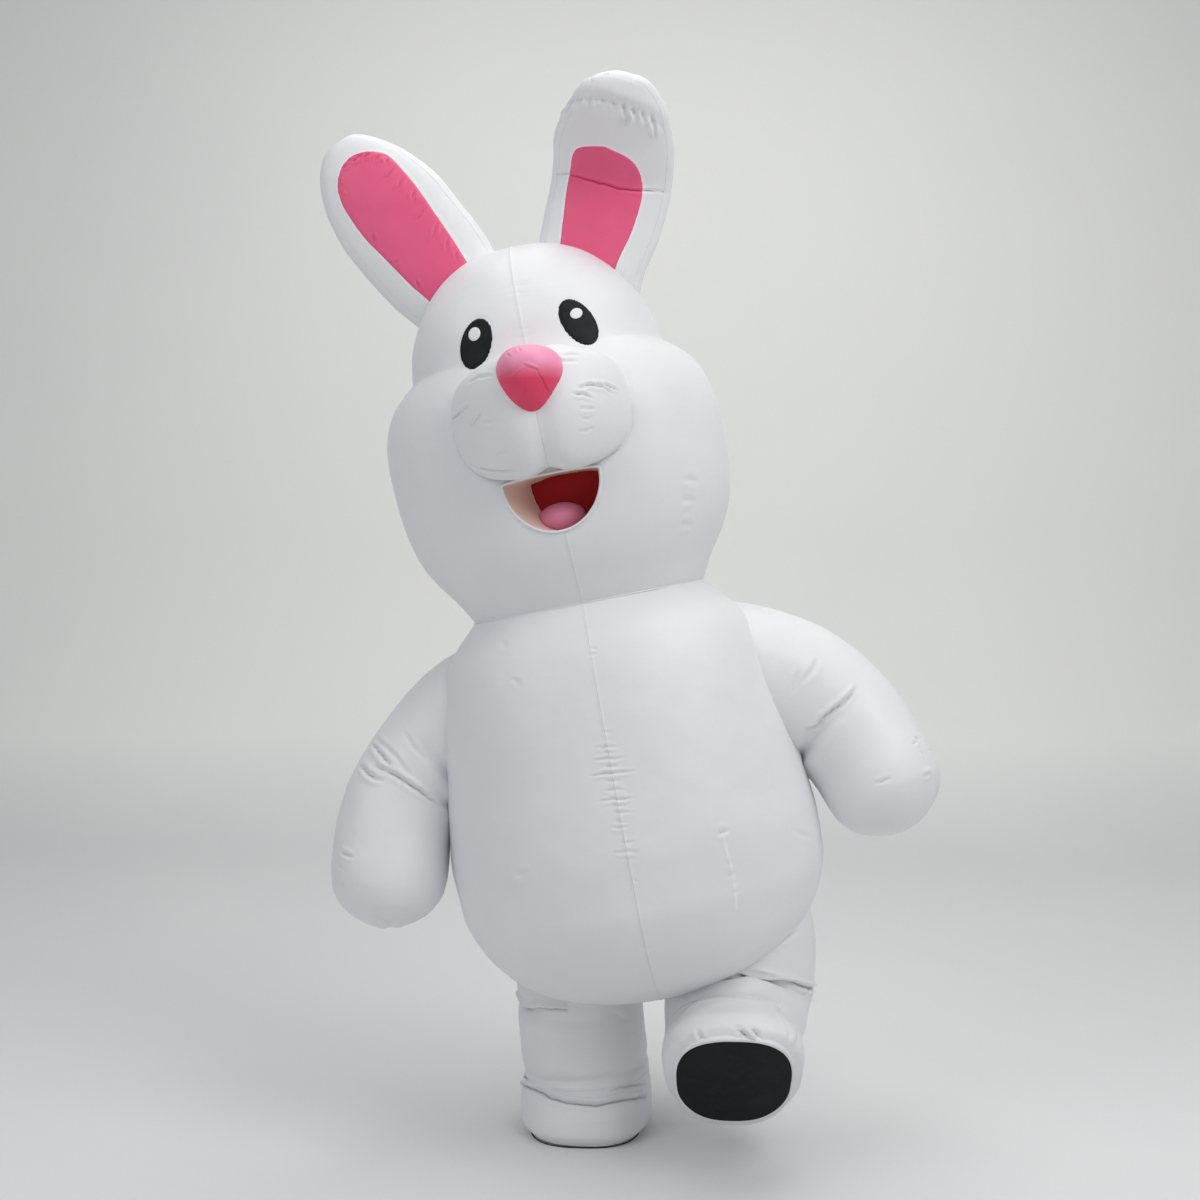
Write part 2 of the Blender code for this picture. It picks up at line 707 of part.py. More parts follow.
def leg_places(side):
    rows = leg_rows(side)
    return limb_places(rows, len(LEGS[side]["x"]) / (len(rows["x"]) - 1), 6)


def foot_places(side):
    rows = leg_rows(side)
    first = len(LEGS[side]["x"])
    return np.arange(first, len(rows["x"])) / (len(rows["x"]) - 1)


def build_arms(cloth, sleeves, trunk_solid):
    for side, name in SIDE_NAMES.items():
        around = full_turn(LIMB_SIDES)
        sleeve = wall(f"sleeve_{name}", sleeves[side], sleeve_places(side), around, cloth, seams="end")
        cut(sleeve, trunk_solid)
        wall(f"mitt_{name}", sleeves[side], mitt_places(side), around, cloth, seams="start", pole=True)


def build_legs(cloth, sole_cloth, legs, trunk_solid):
    for side, name in SIDE_NAMES.items():
        around = full_turn(LIMB_SIDES)
        leg = wall(f"leg_{name}", legs[side], leg_places(side), around, cloth, seams="end")
        cut(leg, trunk_solid)
        wall(f"foot_{name}", legs[side], foot_places(side), around, cloth, seams="start")
        ground = np.array(SOLE_CENTRE[side]) - np.array([0, 0, HOLD_HEIGHT])
        edge_height = foot_up(side) * FOOT["lift"][-1]

        def sole_surface(s, a):
            edge = legs[side](np.ones_like(a), a) - edge_height - ground
            return ground + edge * (1 - s)[..., None]

        wall(f"sole_{name}", sole_surface, (0, 0.5, 1), around, sole_cloth, facing=-foot_up(side),
             thickness=SOLE_THICKNESS, pole=True)


def build_head(cloth, ears, mouth_hole):
    head = body_surface(HEAD)
    panels = body_panels("head", head, cloth)
    for side, name in SIDE_NAMES.items():
        hole = filled(f"ear_hole_{name}", ears[side], ear_places(side)[:5], EAR_ANGLES, -WALL)
        for panel in panels.values():
            cut(panel, hole)
    cut(panels["front_right"], mouth_hole)
    cut(panels["front_left"], mouth_hole)


def build_ears(cloth, pink, ears, head_solid):
    for side, name in SIDE_NAMES.items():
        places = ear_places(side)
        cut(wall(f"ear_front_{name}", ears[side], places, EAR_FRONT, cloth), head_solid)
        cut(wall(f"ear_back_{name}", ears[side], places, EAR_BACK, cloth), head_solid)
        surface, across = ear_lining_surface(side), np.linspace(-1, 1, 8)
        lining = wall(f"ear_lining_{name}", surface, np.linspace(0, 0.985, LINING_ROWS), across, pink,
                      facing=(0, -1, 0), lift=1.8 * WALL, thickness=4 * WALL)
        ear_solid = filled(f"ear_solid_{name}", ears[side], places, EAR_ANGLES, SEAM_GAP)
        cut(lining, ear_solid)
        cut(lining, head_solid)


def build_face(cloth, pink, black, skin, dark_red, head_solid):
    places = (0, 0.08, 0.2, 0.36, 0.54, 0.72, 0.87, 1)
    arc = np.linspace(-MUZZLE_TURN, MUZZLE_TURN, MUZZLE_ARC + 1)
    muzzle_solids = []
    for side, name in SIDE_NAMES.items():
        surface = muzzle_surface(side)
        cut(wall(f"muzzle_{name}", surface, places, arc, cloth, facing=(0, -1, 0)), head_solid)
        muzzle_solids.append(filled_dome(f"muzzle_solid_{name}", surface, places, arc))
        eye = disc_surface(face_point, EYES[side], EYES[side]["tilt"])
        patch = wall(f"eye_{name}", eye, (0, 0.35, 1), full_turn(OVAL_SIDES), black, facing=(0, -1, 0),
                     lift=EYE_CLOTH, thickness=EYE_CLOTH + WALL, pole=True)
        cut(patch, head_solid)
    nose = wall("nose", nose_surface, (0, 0.3, 0.6, 0.8, 0.92, 1), full_turn(NOSE_SIDES), pink, pole=True)
    for solid in [head_solid] + muzzle_solids:
        cut(nose, solid)

    wall("mouth_lining", mouth_surface, (0, 0.5, 1), full_turn(LIMB_SIDES), skin, seams="end")

    def window_surface(s, a):
        across, up = mouth_outline(WINDOW, a, 1 - s)
        return leaning(across, MOUTH_BACK_Y + SEAM_GAP, up)

    wall("mouth_window", window_surface, (0, 0.5, 1), full_turn(LIMB_SIDES), dark_red,
         facing=(0, -1, 0), pole=True)

    def tongue_surface(s, a):
        swing = s * math.pi / 2
        across = TONGUE["across"] + TONGUE["half_width"] * np.cos(swing) * np.cos(a)
        up = TONGUE["up"] + TONGUE["half_height"] * np.cos(swing) * np.sin(a)
        return leaning(across, MOUTH_BACK_Y - SEAM_GAP - TONGUE_REACH * np.sin(swing), up)

    tongue = wall("tongue", tongue_surface, (0, 0.4, 0.75, 1), full_turn(OVAL_SIDES), pink, pole=True)
    inside = filled("mouth_inside", mouth_surface, (0, 0.5, 1), full_turn(LIMB_SIDES), -WALL - SEAM_GAP)
    combine(tongue, inside, "INTERSECT")


def add_block(name, centre, size, axes, cloth=None):
    """A box by its centre and sizes along three axes, given as the rows of axes."""
    corners = np.array([(x, y, z) for x in (-0.5, 0.5) for y in (-0.5, 0.5) for z in (-0.5, 0.5)])
    points = np.asarray(centre) + (corners * np.asarray(size)) @ np.asarray(axes)
    faces = [(0, 1, 3, 2), (4, 6, 7, 5), (0, 4, 5, 1), (2, 3, 7, 6), (0, 2, 6, 4), (1, 5, 7, 3)]
    return add_mesh(name, points, outward(points, faces), cloth)


def add_rod(name, centre, axes, radius, length, cloth=None, sides=20):
    """A cylinder along the first of three axes."""
    angles = np.linspace(0, 2 * math.pi, sides + 1)[:-1]
    across, along, out = np.asarray(axes)
    ring = radius * (np.cos(angles)[:, None] * along + np.sin(angles)[:, None] * out)
    points = np.vstack([centre + ring - across * length / 2, centre + ring + across * length / 2])
    faces = [(i, (i + 1) % sides, sides + (i + 1) % sides, sides + i) for i in range(sides)]
    faces += [tuple(reversed(range(sides))), tuple(range(sides, 2 * sides))]
    return add_mesh(name, points, outward(points, faces), cloth)


def build_zip(tape_cloth, metal, trunk_solid):
    tape = wall("zip_tape", zip_surface, np.linspace(0, 1, 16), (-1, 0, 1), tape_cloth, facing=(0, 1, 0),
                lift=ZIP_TAPE, thickness=ZIP_TAPE + WALL)
    cut(tape, trunk_solid)

    trunk = body_surface(TRUNK)
    place, back = np.array(SLIDER_PLACE), np.array(math.pi / 2)
    seat = trunk(place, back)
    out, down, _ = normals(trunk, place, back, None)
    across = np.cross(down, out)
    axes = (across, down, out)
    base = seat + out * (ZIP_TAPE + 2 * SEAM_GAP)
    size = (SLIDER["width"], SLIDER["length"], SLIDER["height"])
    slider = add_block("zip_slider", base + out * size[2] / 2, size, axes, metal)
    pin_centre = base + out * PIN_HEIGHT
    ear_gap = PULL["width"] + 2 * RUNNING
    for side in (-1, 1):
        centre = base + across * side * (ear_gap + CHEEK_WIDTH) / 2 + out * (PIN_HEIGHT + PIN_RADIUS) / 2
        ear_size = (CHEEK_WIDTH, 4 * PIN_RADIUS, PIN_HEIGHT + 3 * PIN_RADIUS)
        ear = add_block(f"slider_ear_{side + 1}", centre + out * PIN_RADIUS, ear_size, axes)
        combine(slider, ear, "UNION")
    pin = add_rod("slider_pin", pin_centre, axes, PIN_RADIUS, ear_gap + CHEEK_WIDTH)
    combine(slider, pin, "UNION")

    knuckle = add_rod("zip_pull", pin_centre, axes, KNUCKLE_RADIUS, PULL["width"], metal)
    length = PULL["length"]
    tab_centre = pin_centre + down * (length / 2 + PIN_RADIUS * 1.5)
    tab = add_block("pull_tab", tab_centre, (PULL["width"], length, PULL["thickness"]), axes)
    combine(knuckle, tab, "UNION")
    bore = add_rod("pull_bore", pin_centre, axes, PIN_RADIUS + RUNNING, 2 * PULL["width"])
    combine(knuckle, bore, "DIFFERENCE")


def main():
    for obj in list(bpy.data.objects):
        bpy.data.objects.remove(obj, do_unlink=True)
    white = material("white_cloth", (0.86, 0.87, 0.88), 0.38)
    pink = material("pink_cloth", (0.70, 0.13, 0.28), 0.5)
    black = material("black_cloth", (0.012, 0.012, 0.014), 0.45)
    skin = material("peach_cloth", (0.48, 0.28, 0.24), 0.6)
    dark_red = material("dark_red_mesh", (0.16, 0.006, 0.008), 0.7)
    tape_cloth = material("zip_tape", (0.8, 0.81, 0.82), 0.6)
    metal = material("zip_metal", (0.6, 0.6, 0.61), 0.3, 1.0)

    sleeves = {side: tube_surface(sleeve_rows(side)) for side in SIDE_NAMES}
    legs = {side: tube_surface(leg_rows(side)) for side in SIDE_NAMES}
    ears = {side: tube_surface(EARS[side]) for side in SIDE_NAMES}
    body_turn = full_turn(TRUNK_SIDES)
    body_rows = np.linspace(0, 1, BODY_ROWS)
    trunk_solid = filled("trunk_solid", body_surface(TRUNK), body_rows, body_turn, SEAM_GAP)
    head_solid = filled("head_solid", body_surface(HEAD), body_rows, body_turn, SEAM_GAP)
    mouth_turn = full_turn(LIMB_SIDES)
    mouth_hole = filled("mouth_hole", mouth_cutter_surface, (0, 1 / 3, 2 / 3, 1), mouth_turn, SEAM_GAP)

    build_trunk(white, sleeves, legs)
    build_arms(white, sleeves, trunk_solid)
    build_legs(white, black, legs, trunk_solid)
    build_head(white, ears, mouth_hole)
    build_ears(white, pink, ears, head_solid)
    build_face(white, pink, black, skin, dark_red, head_solid)
    build_zip(tape_cloth, metal, trunk_solid)


main()
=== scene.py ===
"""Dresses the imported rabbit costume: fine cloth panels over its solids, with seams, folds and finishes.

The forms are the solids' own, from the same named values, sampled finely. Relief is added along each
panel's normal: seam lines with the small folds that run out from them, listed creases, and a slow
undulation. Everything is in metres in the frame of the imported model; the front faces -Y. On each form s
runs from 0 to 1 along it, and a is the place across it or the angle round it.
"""

import math

import bmesh
import bpy
import numpy as np
from mathutils.bvhtree import BVHTree
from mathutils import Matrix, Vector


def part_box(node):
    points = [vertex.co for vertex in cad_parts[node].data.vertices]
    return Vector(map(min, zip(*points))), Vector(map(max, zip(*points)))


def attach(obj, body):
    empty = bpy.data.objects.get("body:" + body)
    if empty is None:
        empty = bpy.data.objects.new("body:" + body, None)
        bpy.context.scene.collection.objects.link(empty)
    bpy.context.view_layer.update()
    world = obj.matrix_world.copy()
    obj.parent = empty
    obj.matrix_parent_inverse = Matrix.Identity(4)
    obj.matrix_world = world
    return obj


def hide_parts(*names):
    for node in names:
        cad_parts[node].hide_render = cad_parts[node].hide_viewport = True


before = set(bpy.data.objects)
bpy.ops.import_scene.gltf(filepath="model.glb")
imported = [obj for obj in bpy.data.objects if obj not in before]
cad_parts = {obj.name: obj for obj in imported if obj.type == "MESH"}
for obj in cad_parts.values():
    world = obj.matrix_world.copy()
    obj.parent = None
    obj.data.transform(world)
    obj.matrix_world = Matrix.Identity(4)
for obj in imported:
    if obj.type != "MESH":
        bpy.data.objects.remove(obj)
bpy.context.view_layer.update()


def table(names, *rows):
    """The named columns of rows given in thousandths: in millimetres, or for a share in parts of 1000."""
    return {name: [value / 1000 for value in column] for name, column in zip(names.split(), zip(*rows))}


# Driving dimensions, in metres.
HOLD_HEIGHT = 1.38  # the shoulders that carry the costume, above the floor
SEAM_GAP = 0.0003  # between panels that are sewn together
LEAN = math.radians(11.0)  # the body leans to the wearer's right as it steps
NECK_X = -0.0275
NECK_HEIGHT = 1.335
HEAD_DRIFT = -0.020  # the head leans this much further for each metre up
RIGHT, LEFT = -1, 1
SIDE_NAMES = {RIGHT: "right", LEFT: "left"}
# Sections of the trunk along its leaning axis, measured down from the neck seam.
TRUNK = table(
    "up half_width front back",
    (   0, 290, 250, 250), ( -50, 338, 285, 280), (-100, 380, 318, 303),
    (-170, 406, 345, 320), (-260, 424, 368, 335), (-370, 437, 388, 346),
    (-490, 449, 407, 353), (-600, 459, 420, 358), (-700, 456, 420, 356),
    (-790, 428, 396, 338), (-862, 380, 352, 305), (-918, 312, 290, 255),
    (-958, 225, 210, 188), (-981, 118, 110, 100), (-989, 1.5, 1.5, 1.5),
)
# Sections of the head, measured up from the neck seam. The cheeks swell out under a crease at eye level.
HEAD = table(
    "up half_width front back",
    (  0, 290, 250, 250), ( 50, 318, 283, 283), (110, 360, 318, 320),
    (170, 389, 340, 350), (240, 407, 352, 370), (320, 416, 360, 382),
    (390, 418, 362, 386), (450, 413, 358, 382), (500, 400, 350, 372),
    (545, 375, 338, 356), (578, 342, 326, 340), (600, 316, 318, 328),
    (625, 312, 311, 320), (670, 303, 300, 306), (720, 283, 280, 284),
    (765, 257, 255, 257), (810, 222, 220, 221), (850, 175, 173, 174),
    (878, 117, 115, 116), (892,  52,  51,  52), (895, 1.5, 1.5, 1.5),
)
ROUNDNESS = 0.94  # 1 is an ellipse and less is squarer
# Rows of a limb: where its centre line runs and its radius across and in depth, from inside the body out.
SLEEVES = {
    RIGHT: table(
        "x y height across deep",
        (-248,    0, 1081, 165, 165), (-345,    0, 1025, 158, 160), (-405,  -10,  965, 148, 152),
        (-458,  -30,  895, 143, 148), (-495,  -55,  818, 143, 146), (-510,  -80,  742, 144, 145),
        (-512, -100,  680, 144, 144),
    ),
    LEFT: table(
        "x y height across deep",
        (290,  10, 1150, 190, 180), (370,  10, 1140, 186, 175), (458,  10, 1118, 178, 165),
        (545,   5, 1075, 166, 155), (617, -10, 1012, 154, 148), (662, -30,  950, 147, 146),
        (685, -45,  908, 145, 145),
    ),
}
MITT = table(
    "along share",
    (  0, 1000), ( 50,  955), ( 95,  790), (127,  510), (143,  230), (148,   10),
)
# Legs run down from inside the trunk to the ankle seam, where the foot takes over.
LEGS = {
    RIGHT: table(
        "x y height across",
        (-52, 45, 560, 156), (-56, 58, 440, 159), (-55, 73, 320, 162),
        (-48, 85, 220, 162),
    ),
    LEFT: table(
        "x y height across",
        (338, -15, 610, 172), (349, -25, 480, 187), (341, -69, 362, 181),
    ),
}
# The foot above its sole, from the ankle seam down.
FOOT = table(
    "lift across front back roundness heel_in",
    (130, 162, 166, 166, 1000,   0), (100, 166, 184, 172,  960,  20), ( 65, 168, 210, 182,  900,  50),
    ( 30, 163, 221, 186,  840,  90), (3.3, 136, 206, 174,  780, 130),
)
# The largest folds: where each lies along the limb and, in degrees, round it, how deep it is, and how far it
# spreads along the limb and round it.
SLEEVE_FOLDS = {
    RIGHT: ((0.215, -35, 0.024, 0.020, 0.9), (0.300, -20, 0.012, 0.018, 0.7)),
    LEFT: ((0.315, -145, 0.026, 0.022, 0.9),),
}
LEG_FOLDS = {
    RIGHT: ((0.250, -130, 0.016, 0.020, 0.9), (0.455, -80, 0.012, 0.016, 1.4)),
    LEFT: ((0.300, -90, 0.018, 0.028, 1.2),),
}
SOLE_CENTRE = {RIGHT: (-0.038, 0.090, 0.0), LEFT: (0.326, -0.250, 0.2000)}
TOE_LIFT = {RIGHT: 0.0, LEFT: math.radians(48)}
EARS = {
    RIGHT: table(
        "x y height across deep",
        (-281, 0, 2018, 125, 58), (-345, 0, 2095, 132, 58), (-422, 0, 2187, 149, 55),
        (-506, 0, 2286, 152, 52), (-570, 0, 2363, 137, 48), (-615, 0, 2417, 108, 42),
        (-650, 0, 2459,  70, 32), (-663, 0, 2474,  42, 21), (-666, 0, 2478,   2,  2),
    ),
    LEFT: table(
        "x y height across deep",
        (-40,    0, 2060, 130, 58), (-25,    0, 2162, 136, 58), (  8,    0, 2280, 148, 56),
        ( 28,  -14, 2366, 150, 52), ( 38,  -70, 2440, 148, 50), ( 40, -138, 2504, 128, 45),
        ( 32, -200, 2555,  80, 32), ( 30, -220, 2571,  37, 18), ( 29, -226, 2576,   2,  2),
    ),
}
# The two edges of each ear's pink lining, from inside the head up to its round tip: how far along the ear
# each point is, and how far across, as a share of the ear's half width towards the wearer's right.
EAR_LININGS = {
    RIGHT: table(
        "right_place right_share left_place left_share",
        ( 60, 490,  60, -430), (140, 520, 160, -470), (220, 550, 247, -515), (302, 580, 320, -560),
        (395, 620, 405, -610), (492, 630, 485, -660), (583, 565, 550, -690), (628, 415, 600, -620),
        (655, 200, 640, -420), (663, -40, 661, -160),
    ),
    LEFT: table(
        "right_place right_share left_place left_share",
        ( 60, 570,  50, -460), (150, 600, 128, -495), (203, 640, 182, -530), (268, 680, 230, -560),
        (345, 700, 285, -570), (410, 695, 335, -575), (455, 690, 390, -565), (485, 685, 443, -505),
        (525, 625, 480, -410), (540, 500, 508, -260), (546, 300, 532,  -20), (547, 180, 545,  120),
    ),
}
EAR_SEAM = math.radians(28)  # the back panel wraps the ear's edge up to this angle
# The face, in the leaning frame: across from the middle and up from the neck seam.
MUZZLE = dict(across=-0.006, up=0.442, half_width=0.208, half_height=0.146)
MUZZLE_MIDDLE = dict(y=-0.395, bend=0.098, reach=0.088)  # its middle line bends back round the cheeks
MUZZLE_TURN = math.radians(140)  # how far its wall wraps round behind, above and below
MUZZLE_GROOVE = dict(share=0.13, width=0.032)  # how far its middle seam draws it in, and over what width
NOSE = dict(across=-0.006, up=0.483, half_width=0.091, half_height=0.101, turn=math.radians(9), back=-0.310,
            reach=0.215)
EYES = {
    RIGHT: dict(across=-0.126, up=0.638, half_width=0.0385, half_height=0.0615, tilt=math.radians(-23)),
    LEFT: dict(across=0.117, up=0.641, half_width=0.0370, half_height=0.0630, tilt=math.radians(23)),
}
# The mouth is a U: nearly straight under the muzzle and round below.
MOUTH = dict(across=-0.011, up=0.297, half_width=0.114, rise=0.008, drop=0.126)
MOUTH_BACK = dict(across=0.014, up=0.294, half_width=0.085, rise=0.014, drop=0.122)
WINDOW = dict(across=0.014, up=0.294, half_width=0.088, rise=0.017, drop=0.125)
MOUTH_BACK_Y = -0.220  # where the tunnel ends at the window
TONGUE = dict(across=-0.012, up=0.206, half_width=0.058, half_height=0.037)
TONGUE_REACH = 0.070
# The entry zip down the middle of the back, as shares of the way down the trunk.
ZIP_START, ZIP_END = 0.012, 0.62
ZIP_HALF_WIDTH = 0.016
ZIP_TAPE = 0.0015  # its thickness
TURN_OVER = 0.06  # share of a limb's length over which its sections turn at a bend


def smooth(values, place):
    """A curve through evenly placed values, read at places from 0 to 1. No stretch overshoots its ends."""
    values = np.asarray(values, float)
    steps = np.diff(values)
    slopes = np.concatenate([steps[:1], np.zeros(len(steps) - 1), steps[-1:]])
    same_way = steps[:-1] * steps[1:] > 0
    total = np.where(same_way, steps[:-1] + steps[1:], 1.0)
    slopes[1:-1] = np.where(same_way, 2 * steps[:-1] * steps[1:] / total, 0.0)
    where = np.clip(np.asarray(place, float), 0, 1) * len(steps)
    index = np.minimum(where.astype(int), len(steps) - 1)
    t = where - index
    start, end = values[index], values[index + 1]
    rise = t * t * (3 - 2 * t)
    bend = t * (1 - t) * ((1 - t) * slopes[index] - t * slopes[index + 1])
    return start + (end - start) * rise + bend


def signed_power(value, power):
    return np.sign(value) * np.abs(value) ** power


def stack(x, y, z):
    return np.stack(np.broadcast_arrays(x, y, z), axis=-1)


def unit(vectors):
    return vectors / np.maximum(np.linalg.norm(vectors, axis=-1, keepdims=True), 1e-12)


def leaning(across, y, up):
    """A point of the leaning frame, whose origin is the middle of the neck seam."""
    x = NECK_X + across * math.cos(LEAN) - up * math.sin(LEAN)
    z = NECK_HEIGHT - HOLD_HEIGHT + across * math.sin(LEAN) + up * math.cos(LEAN)
    return stack(x, y, z)


def body_surface(rows):
    """The trunk or the head: level sections of the leaning frame, whose front and back differ in depth."""

    def surface(s, a):
        sine = np.sin(a)
        depth = np.where(sine < 0, smooth(rows["front"], s), smooth(rows["back"], s))
        up = smooth(rows["up"], s)
        half_width = smooth(rows["half_width"], s)
        across = HEAD_DRIFT * np.maximum(up, 0) + half_width * signed_power(np.cos(a), ROUNDNESS)
        return leaning(across, depth * signed_power(sine, ROUNDNESS), up)

    return surface


def tube_surface(rows):
    """A limb or an ear round its centre line. Sine of the angle is negative in front."""
    front = rows.get("front", rows.get("deep", rows["across"]))
    back = rows.get("back", rows.get("deep", rows["across"]))

    def centre(s):
        return stack(smooth(rows["x"], s), smooth(rows["y"], s), smooth(rows["height"], s) - HOLD_HEIGHT)

    def surface(s, a):
        ahead = unit(centre(np.minimum(s + TURN_OVER, 1)) - centre(np.maximum(s - TURN_OVER, 0)))
        rear = unit(np.array([0.0, 1.0, 0.0]) - ahead * ahead[..., 1:2])
        side = np.cross(ahead, rear)
        power = smooth(rows["roundness"], s) if "roundness" in rows else 1.0
        dent = np.zeros(np.broadcast(s, a).shape)
        for place, angle, deep, length, spread in rows.get("folds", ()):
            turn = np.angle(np.exp(1j * (a - math.radians(angle))))
            dent += deep * np.exp(-(((s - place) / length) ** 2) - (turn / spread) ** 2)
        narrowing = 1 - smooth(rows["heel_in"], s) * np.sin(a) if "heel_in" in rows else 1.0
        wide = (smooth(rows["across"], s) - dent) * narrowing
        out = (wide * signed_power(np.cos(a), power))[..., None] * side
        depth = np.where(np.sin(a) < 0, smooth(front, s), smooth(back, s)) - dent
        return centre(s) + out + (depth * signed_power(np.sin(a), power))[..., None] * rear

    return surface


def disc_surface(point, size, tilt=0.0):
    """An oval on a face: s runs from its edge to its middle. point(across, up) gives the carrying surface."""

    def surface(s, a):
        x = (1 - s) * size["half_width"] * np.cos(a)
        z = (1 - s) * size["half_height"] * np.sin(a)
        across = size["across"] + x * math.cos(tilt) - z * math.sin(tilt)
        return point(across, size["up"] + x * math.sin(tilt) + z * math.cos(tilt))

    return surface


def ring(count):
    """Angles once round, evenly spaced."""
    return np.linspace(0, 2 * math.pi, count + 1)[:-1]


def normals(surface, s, a, facing):
    """Unit vectors outwards, along and round a surface. facing is roughly outwards, unless it is closed."""
    step = 1e-4
    along = surface(np.clip(s + step, 0, 1), a) - surface(np.clip(s - step, 0, 1), a)
    round_it = surface(s, a + step) - surface(s, a - step)
    out = unit(np.cross(along, round_it))
    if facing is None:
        # A closed form: outwards is away from the middle of one of its rings.
        rows, angles = 0.3 + step * np.array([0, 1, -1, 0, 0]), 0.1 + step * np.array([0, 0, 0, 1, -1])
        point, ahead, behind, after, before = surface(rows, angles)
        middle = surface(np.full(16, 0.3), ring(16)).mean(axis=0)
        sign = np.sign(np.dot(np.cross(ahead - behind, after - before), point - middle))
    else:
        sign = np.sign((out.reshape(-1, 3) @ np.asarray(facing, float)).sum())
    return out * sign, unit(along), unit(round_it)


def sleeve_rows(side):
    """The sleeve's rows, with the rounded mitt added beyond its last one."""
    rows = {name: list(values) for name, values in SLEEVES[side].items()}
    rows["folds"] = SLEEVE_FOLDS[side]
    end = np.array([rows[name][-1] for name in ("x", "y", "height")])
    ahead = unit(end - np.array([rows[name][-2] for name in ("x", "y", "height")]))
    for along, share in list(zip(MITT["along"], MITT["share"]))[1:]:
        for name, value in zip(("x", "y", "height"), end + ahead * along):
            rows[name].append(value)
        rows["across"].append(SLEEVES[side]["across"][-1] * share)
        rows["deep"].append(SLEEVES[side]["deep"][-1] * share)
    return rows


def foot_up(side):
    return np.array([0.0, math.sin(TOE_LIFT[side]), math.cos(TOE_LIFT[side])])


def leg_rows(side):
    """The leg's rows from inside the trunk, with the foot's rows added down to the sole's edge."""
    rows = {name: list(values) for name, values in LEGS[side].items()}
    rows["front"] = list(rows["across"])
    rows["back"] = list(rows["across"])
    rows["roundness"] = [1.0] * len(rows["x"])
    rows["heel_in"] = [0.0] * len(rows["x"])
    rows["folds"] = LEG_FOLDS[side]
    for i, lift in enumerate(FOOT["lift"]):
        for name, value in zip(("x", "y", "height"), np.array(SOLE_CENTRE[side]) + foot_up(side) * lift):
            rows[name].append(value)
        for name in ("across", "front", "back", "roundness", "heel_in"):
            rows[name].append(FOOT[name][i])
    return rows


def face_point(across, up):
    """The point of the head's front at a place of the leaning frame."""
    places = np.linspace(0, 1, 4001)
    s = np.interp(up, smooth(HEAD["up"], places), places)
    share = (across - HEAD_DRIFT * up) / smooth(HEAD["half_width"], s)
    cosine = signed_power(np.clip(share, -0.999, 0.999), 1 / ROUNDNESS)
    return body_surface(HEAD)(s, -np.arccos(cosine))


def muzzle_surface(side):
    """Half of the muzzle, from the middle seam out to the cheek. The angle runs from its underside up."""

    def surface(s, a):
        swing = s * math.pi / 2
        out = MUZZLE["half_width"] * np.sin(swing)
        groove = MUZZLE_GROOVE["share"] * np.exp(-((out / MUZZLE_GROOVE["width"]) ** 2))
        size = np.maximum(np.cos(swing), 0.001) ** 0.6 * (1 - groove)
        up = MUZZLE["up"] + MUZZLE["half_height"] * size * np.sin(a)
        middle = MUZZLE_MIDDLE["y"] + MUZZLE_MIDDLE["bend"] * (out / MUZZLE["half_width"]) ** 2
        y = middle - MUZZLE_MIDDLE["reach"] * size * signed_power(np.cos(a), 0.85)
        return leaning(MUZZLE["across"] + side * (SEAM_GAP / 2 + out), y, up)

    return surface


def nose_surface(s, a):
    """A padded nose with three rounded corners, one of them pointing down."""
    swing = s * math.pi / 2
    spread = np.cos(swing) ** 0.78 * (1 + 0.07 * np.sin(3 * (a + NOSE["turn"])))
    across = NOSE["across"] + NOSE["half_width"] * spread * np.cos(a)
    up = NOSE["up"] + NOSE["half_height"] * (spread * np.sin(a) + 0.42 * np.sin(swing))
    return leaning(across, NOSE["back"] - NOSE["reach"] * np.sin(swing) ** 0.9, up)


def mouth_outline(size, a, grow=1.0):
    sine = np.sin(a)
    across = size["across"] + grow * size["half_width"] * np.cos(a)
    return across, size["up"] + grow * np.where(sine < 0, size["drop"], size["rise"]) * sine


def mouth_surface(s, a):
    """The tunnel from the face back to the window. Below 0 it runs on in front of the face."""
    rim = face_point(*mouth_outline(MOUTH, a))
    across, up = mouth_outline(MOUTH_BACK, a)
    return rim + (leaning(across, MOUTH_BACK_Y, up) - rim) * np.asarray(s)[..., None]


def ear_lining_surface(side):
    """The lining on the ear's front. Each row runs across from the wearer's right edge to the left one."""
    rows = EAR_LININGS[side]
    ear = tube_surface(EARS[side])

    def surface(s, a):
        cross = (1 + np.asarray(a, float)) / 2
        edges = [smooth(rows[name], s) for name in ("right_place", "right_share", "left_place", "left_share")]
        place = edges[0] + (edges[2] - edges[0]) * cross
        return ear(place, -math.pi / 2 + np.arcsin(edges[1] + (edges[3] - edges[1]) * cross))

    return surface


def zip_surface(s, a):
    place = ZIP_START + (ZIP_END - ZIP_START) * s
    return body_surface(TRUNK)(place, math.pi / 2 + a * ZIP_HALF_WIDTH / smooth(TRUNK["half_width"], place))


# Relief, in metres.
SEAM_TURN_IN = 0.006  # the seam allowance, folded in at a panel's edge
SEAM_DEPTH = 0.0012
SEAM_WIDTH = 0.0026
SEAM_SHADE = 0.35  # how dark the shade painted along a seam's line is, where 1 is that of a deep crease
GROOVE_WIDTH = 0.0050  # of a seam whose depth varies
PUCKER_DEPTH = 0.0019
TRIM_DEPTH = 0.010  # a panel stops this far inside the form that it is sewn to
POLE_MARGIN = 0.004  # normals at a pole are taken this share of the form before it
FAR = 0.35  # clearances aren't measured beyond this
CREASE_REACH, SEAM_REACH = 0.05, 0.07  # how near a path a point has to be to take its relief
BODY_WAVE = dict(wave=0.0020, seed=3)  # the undulation of the body, which what lies on it shares


